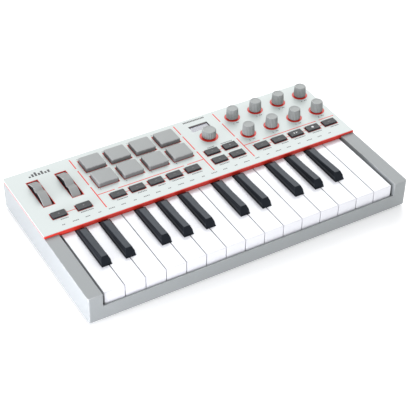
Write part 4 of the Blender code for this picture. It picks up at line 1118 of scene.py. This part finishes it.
def knob_core(name, centre, foot, top, radii, bore):
    """The turned body of a knob, from its shaft over its side to its dished top."""
    base, neck = radii
    rings = [circle(bore[0], bore[1], centre), circle(bore[0], foot, centre),
             circle(base - KNOB_FOOT_EDGE, foot, centre),
             circle(base, foot + KNOB_FOOT_EDGE, centre)]
    for inset, rise in quarter_arc():
        rings.append(circle(neck - KNOB_ROUNDING * inset,
                            top - KNOB_ROUNDING * (1 - rise), centre))
    flat = neck - KNOB_ROUNDING
    for share, depth in ((0.93, 0.25), (0.82, 0.8), (0.6, 0.95), (0.3, 1.0)):
        rings.append(circle(flat * share, top - KNOB_DISH * depth, centre))
    work = bmesh.new()
    loft(work, rings, worn=(5, 6, 7))
    # The upright faces take the darker side colour, which is painted shade.
    mark_sides(work, 0.3)
    return new_piece(f"{name}_core", work)


def rib_tree(finish):
    """Leaning ribs in a ring round a turned core."""
    tree, given = geometry_tree("ribs", {
        "Centre": "Vector", "Ribs": "Int", "Ring": "Float", "Rib": "Float",
        "Length": "Float", "Lean": "Vector"})
    ring = add_node(tree, "GeometryNodeMeshCircle", {
        "Vertices": given["Ribs"], "Radius": given["Ring"]})
    bead = add_node(tree, "GeometryNodeMeshCylinder", {
        "Vertices": 8, "Radius": given["Rib"], "Depth": given["Length"]})
    outwards = add_node(tree, "GeometryNodeInputPosition")
    turn = add_node(tree, "FunctionNodeAlignRotationToVector", {
        "Vector": outwards.outputs["Position"]}, axis="X")
    tilt = add_node(tree, "FunctionNodeEulerToRotation", {"Euler": given["Lean"]})
    leaning = add_node(tree, "FunctionNodeRotateRotation", {
        "Rotation": turn.outputs["Rotation"], "Rotate By": tilt.outputs["Rotation"]},
        rotation_space="LOCAL")
    placed = add_node(tree, "GeometryNodeInstanceOnPoints", {
        "Points": ring.outputs["Mesh"], "Instance": bead.outputs["Mesh"],
        "Rotation": leaning.outputs["Rotation"]})
    moved = add_node(tree, "GeometryNodeTransform", {
        "Geometry": placed.outputs["Instances"], "Translation": given["Centre"]})
    rubbed = add_node(tree, "GeometryNodeStoreNamedAttribute", {
        "Geometry": moved.outputs["Geometry"], "Name": "edge", "Value": RIB_RUB},
        data_type="FLOAT", domain="INSTANCE")
    both = tree.nodes.new("GeometryNodeJoinGeometry")
    tree.links.new(rubbed.outputs["Geometry"], both.inputs["Geometry"])
    tree.links.new(given["Geometry"], both.inputs["Geometry"])
    end_tree(tree, both.outputs["Geometry"], finish)
    return tree


def ribbed_knob(node, place, foot, radii, bore):
    """A knob with its ribs as one piece, in place of a frame node."""
    centre = (place.x, place.y)
    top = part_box(node)[1][2]
    base, neck = radii
    side_low = foot + RIB_LIFT
    side_high = top - KNOB_ROUNDING * 0.9
    middle = (side_low + side_high) / 2
    share = (middle - foot) / (top - foot)
    core = knob_core(node, centre, foot, top, radii, bore)
    piece = grow(f"{node}_ribbed", core, rib_tree(knob_plastic), {
        "Centre": (*centre, middle), "Ribs": KNOB_RIBS,
        "Ring": base + (neck - base) * share - RIB_SUNK, "Rib": RIB_RADIUS,
        "Length": side_high - side_low,
        "Lean": (0, -math.atan((base - neck) / (top - foot)), 0)}, knob_plastic)
    fit_piece(shade(piece), node, "knob_grey", node)


for node, place in knobs.items():
    ribbed_knob(node, place, PANEL_TOP + KNOB_LIFT, (KNOB_CORE, KNOB_NECK),
                (SHAFT_RADIUS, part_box(node)[0][2]))


# ---- Menu encoder -------------------------------------------------------------------
# A larger ribbed knob on a steel shaft. It turns in clicks, and a push on it presses the
# shaft down.

ENCODER_CORE = 6.8 * MM
ENCODER_NECK = 6.5 * MM
ENCODER_ROOM = 0.3 * MM
ENCODER_ROOF = 1.8 * MM

frame["nodes"]["encoder_shaft"].material_slots[0].material = socket_steel
low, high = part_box("encoder_knob")
ribbed_knob("encoder_knob", joint_places["encoder_turn"], low[2], (ENCODER_CORE, ENCODER_NECK),
            (SHAFT_RADIUS + ENCODER_ROOM, high[2] - ENCODER_ROOF))
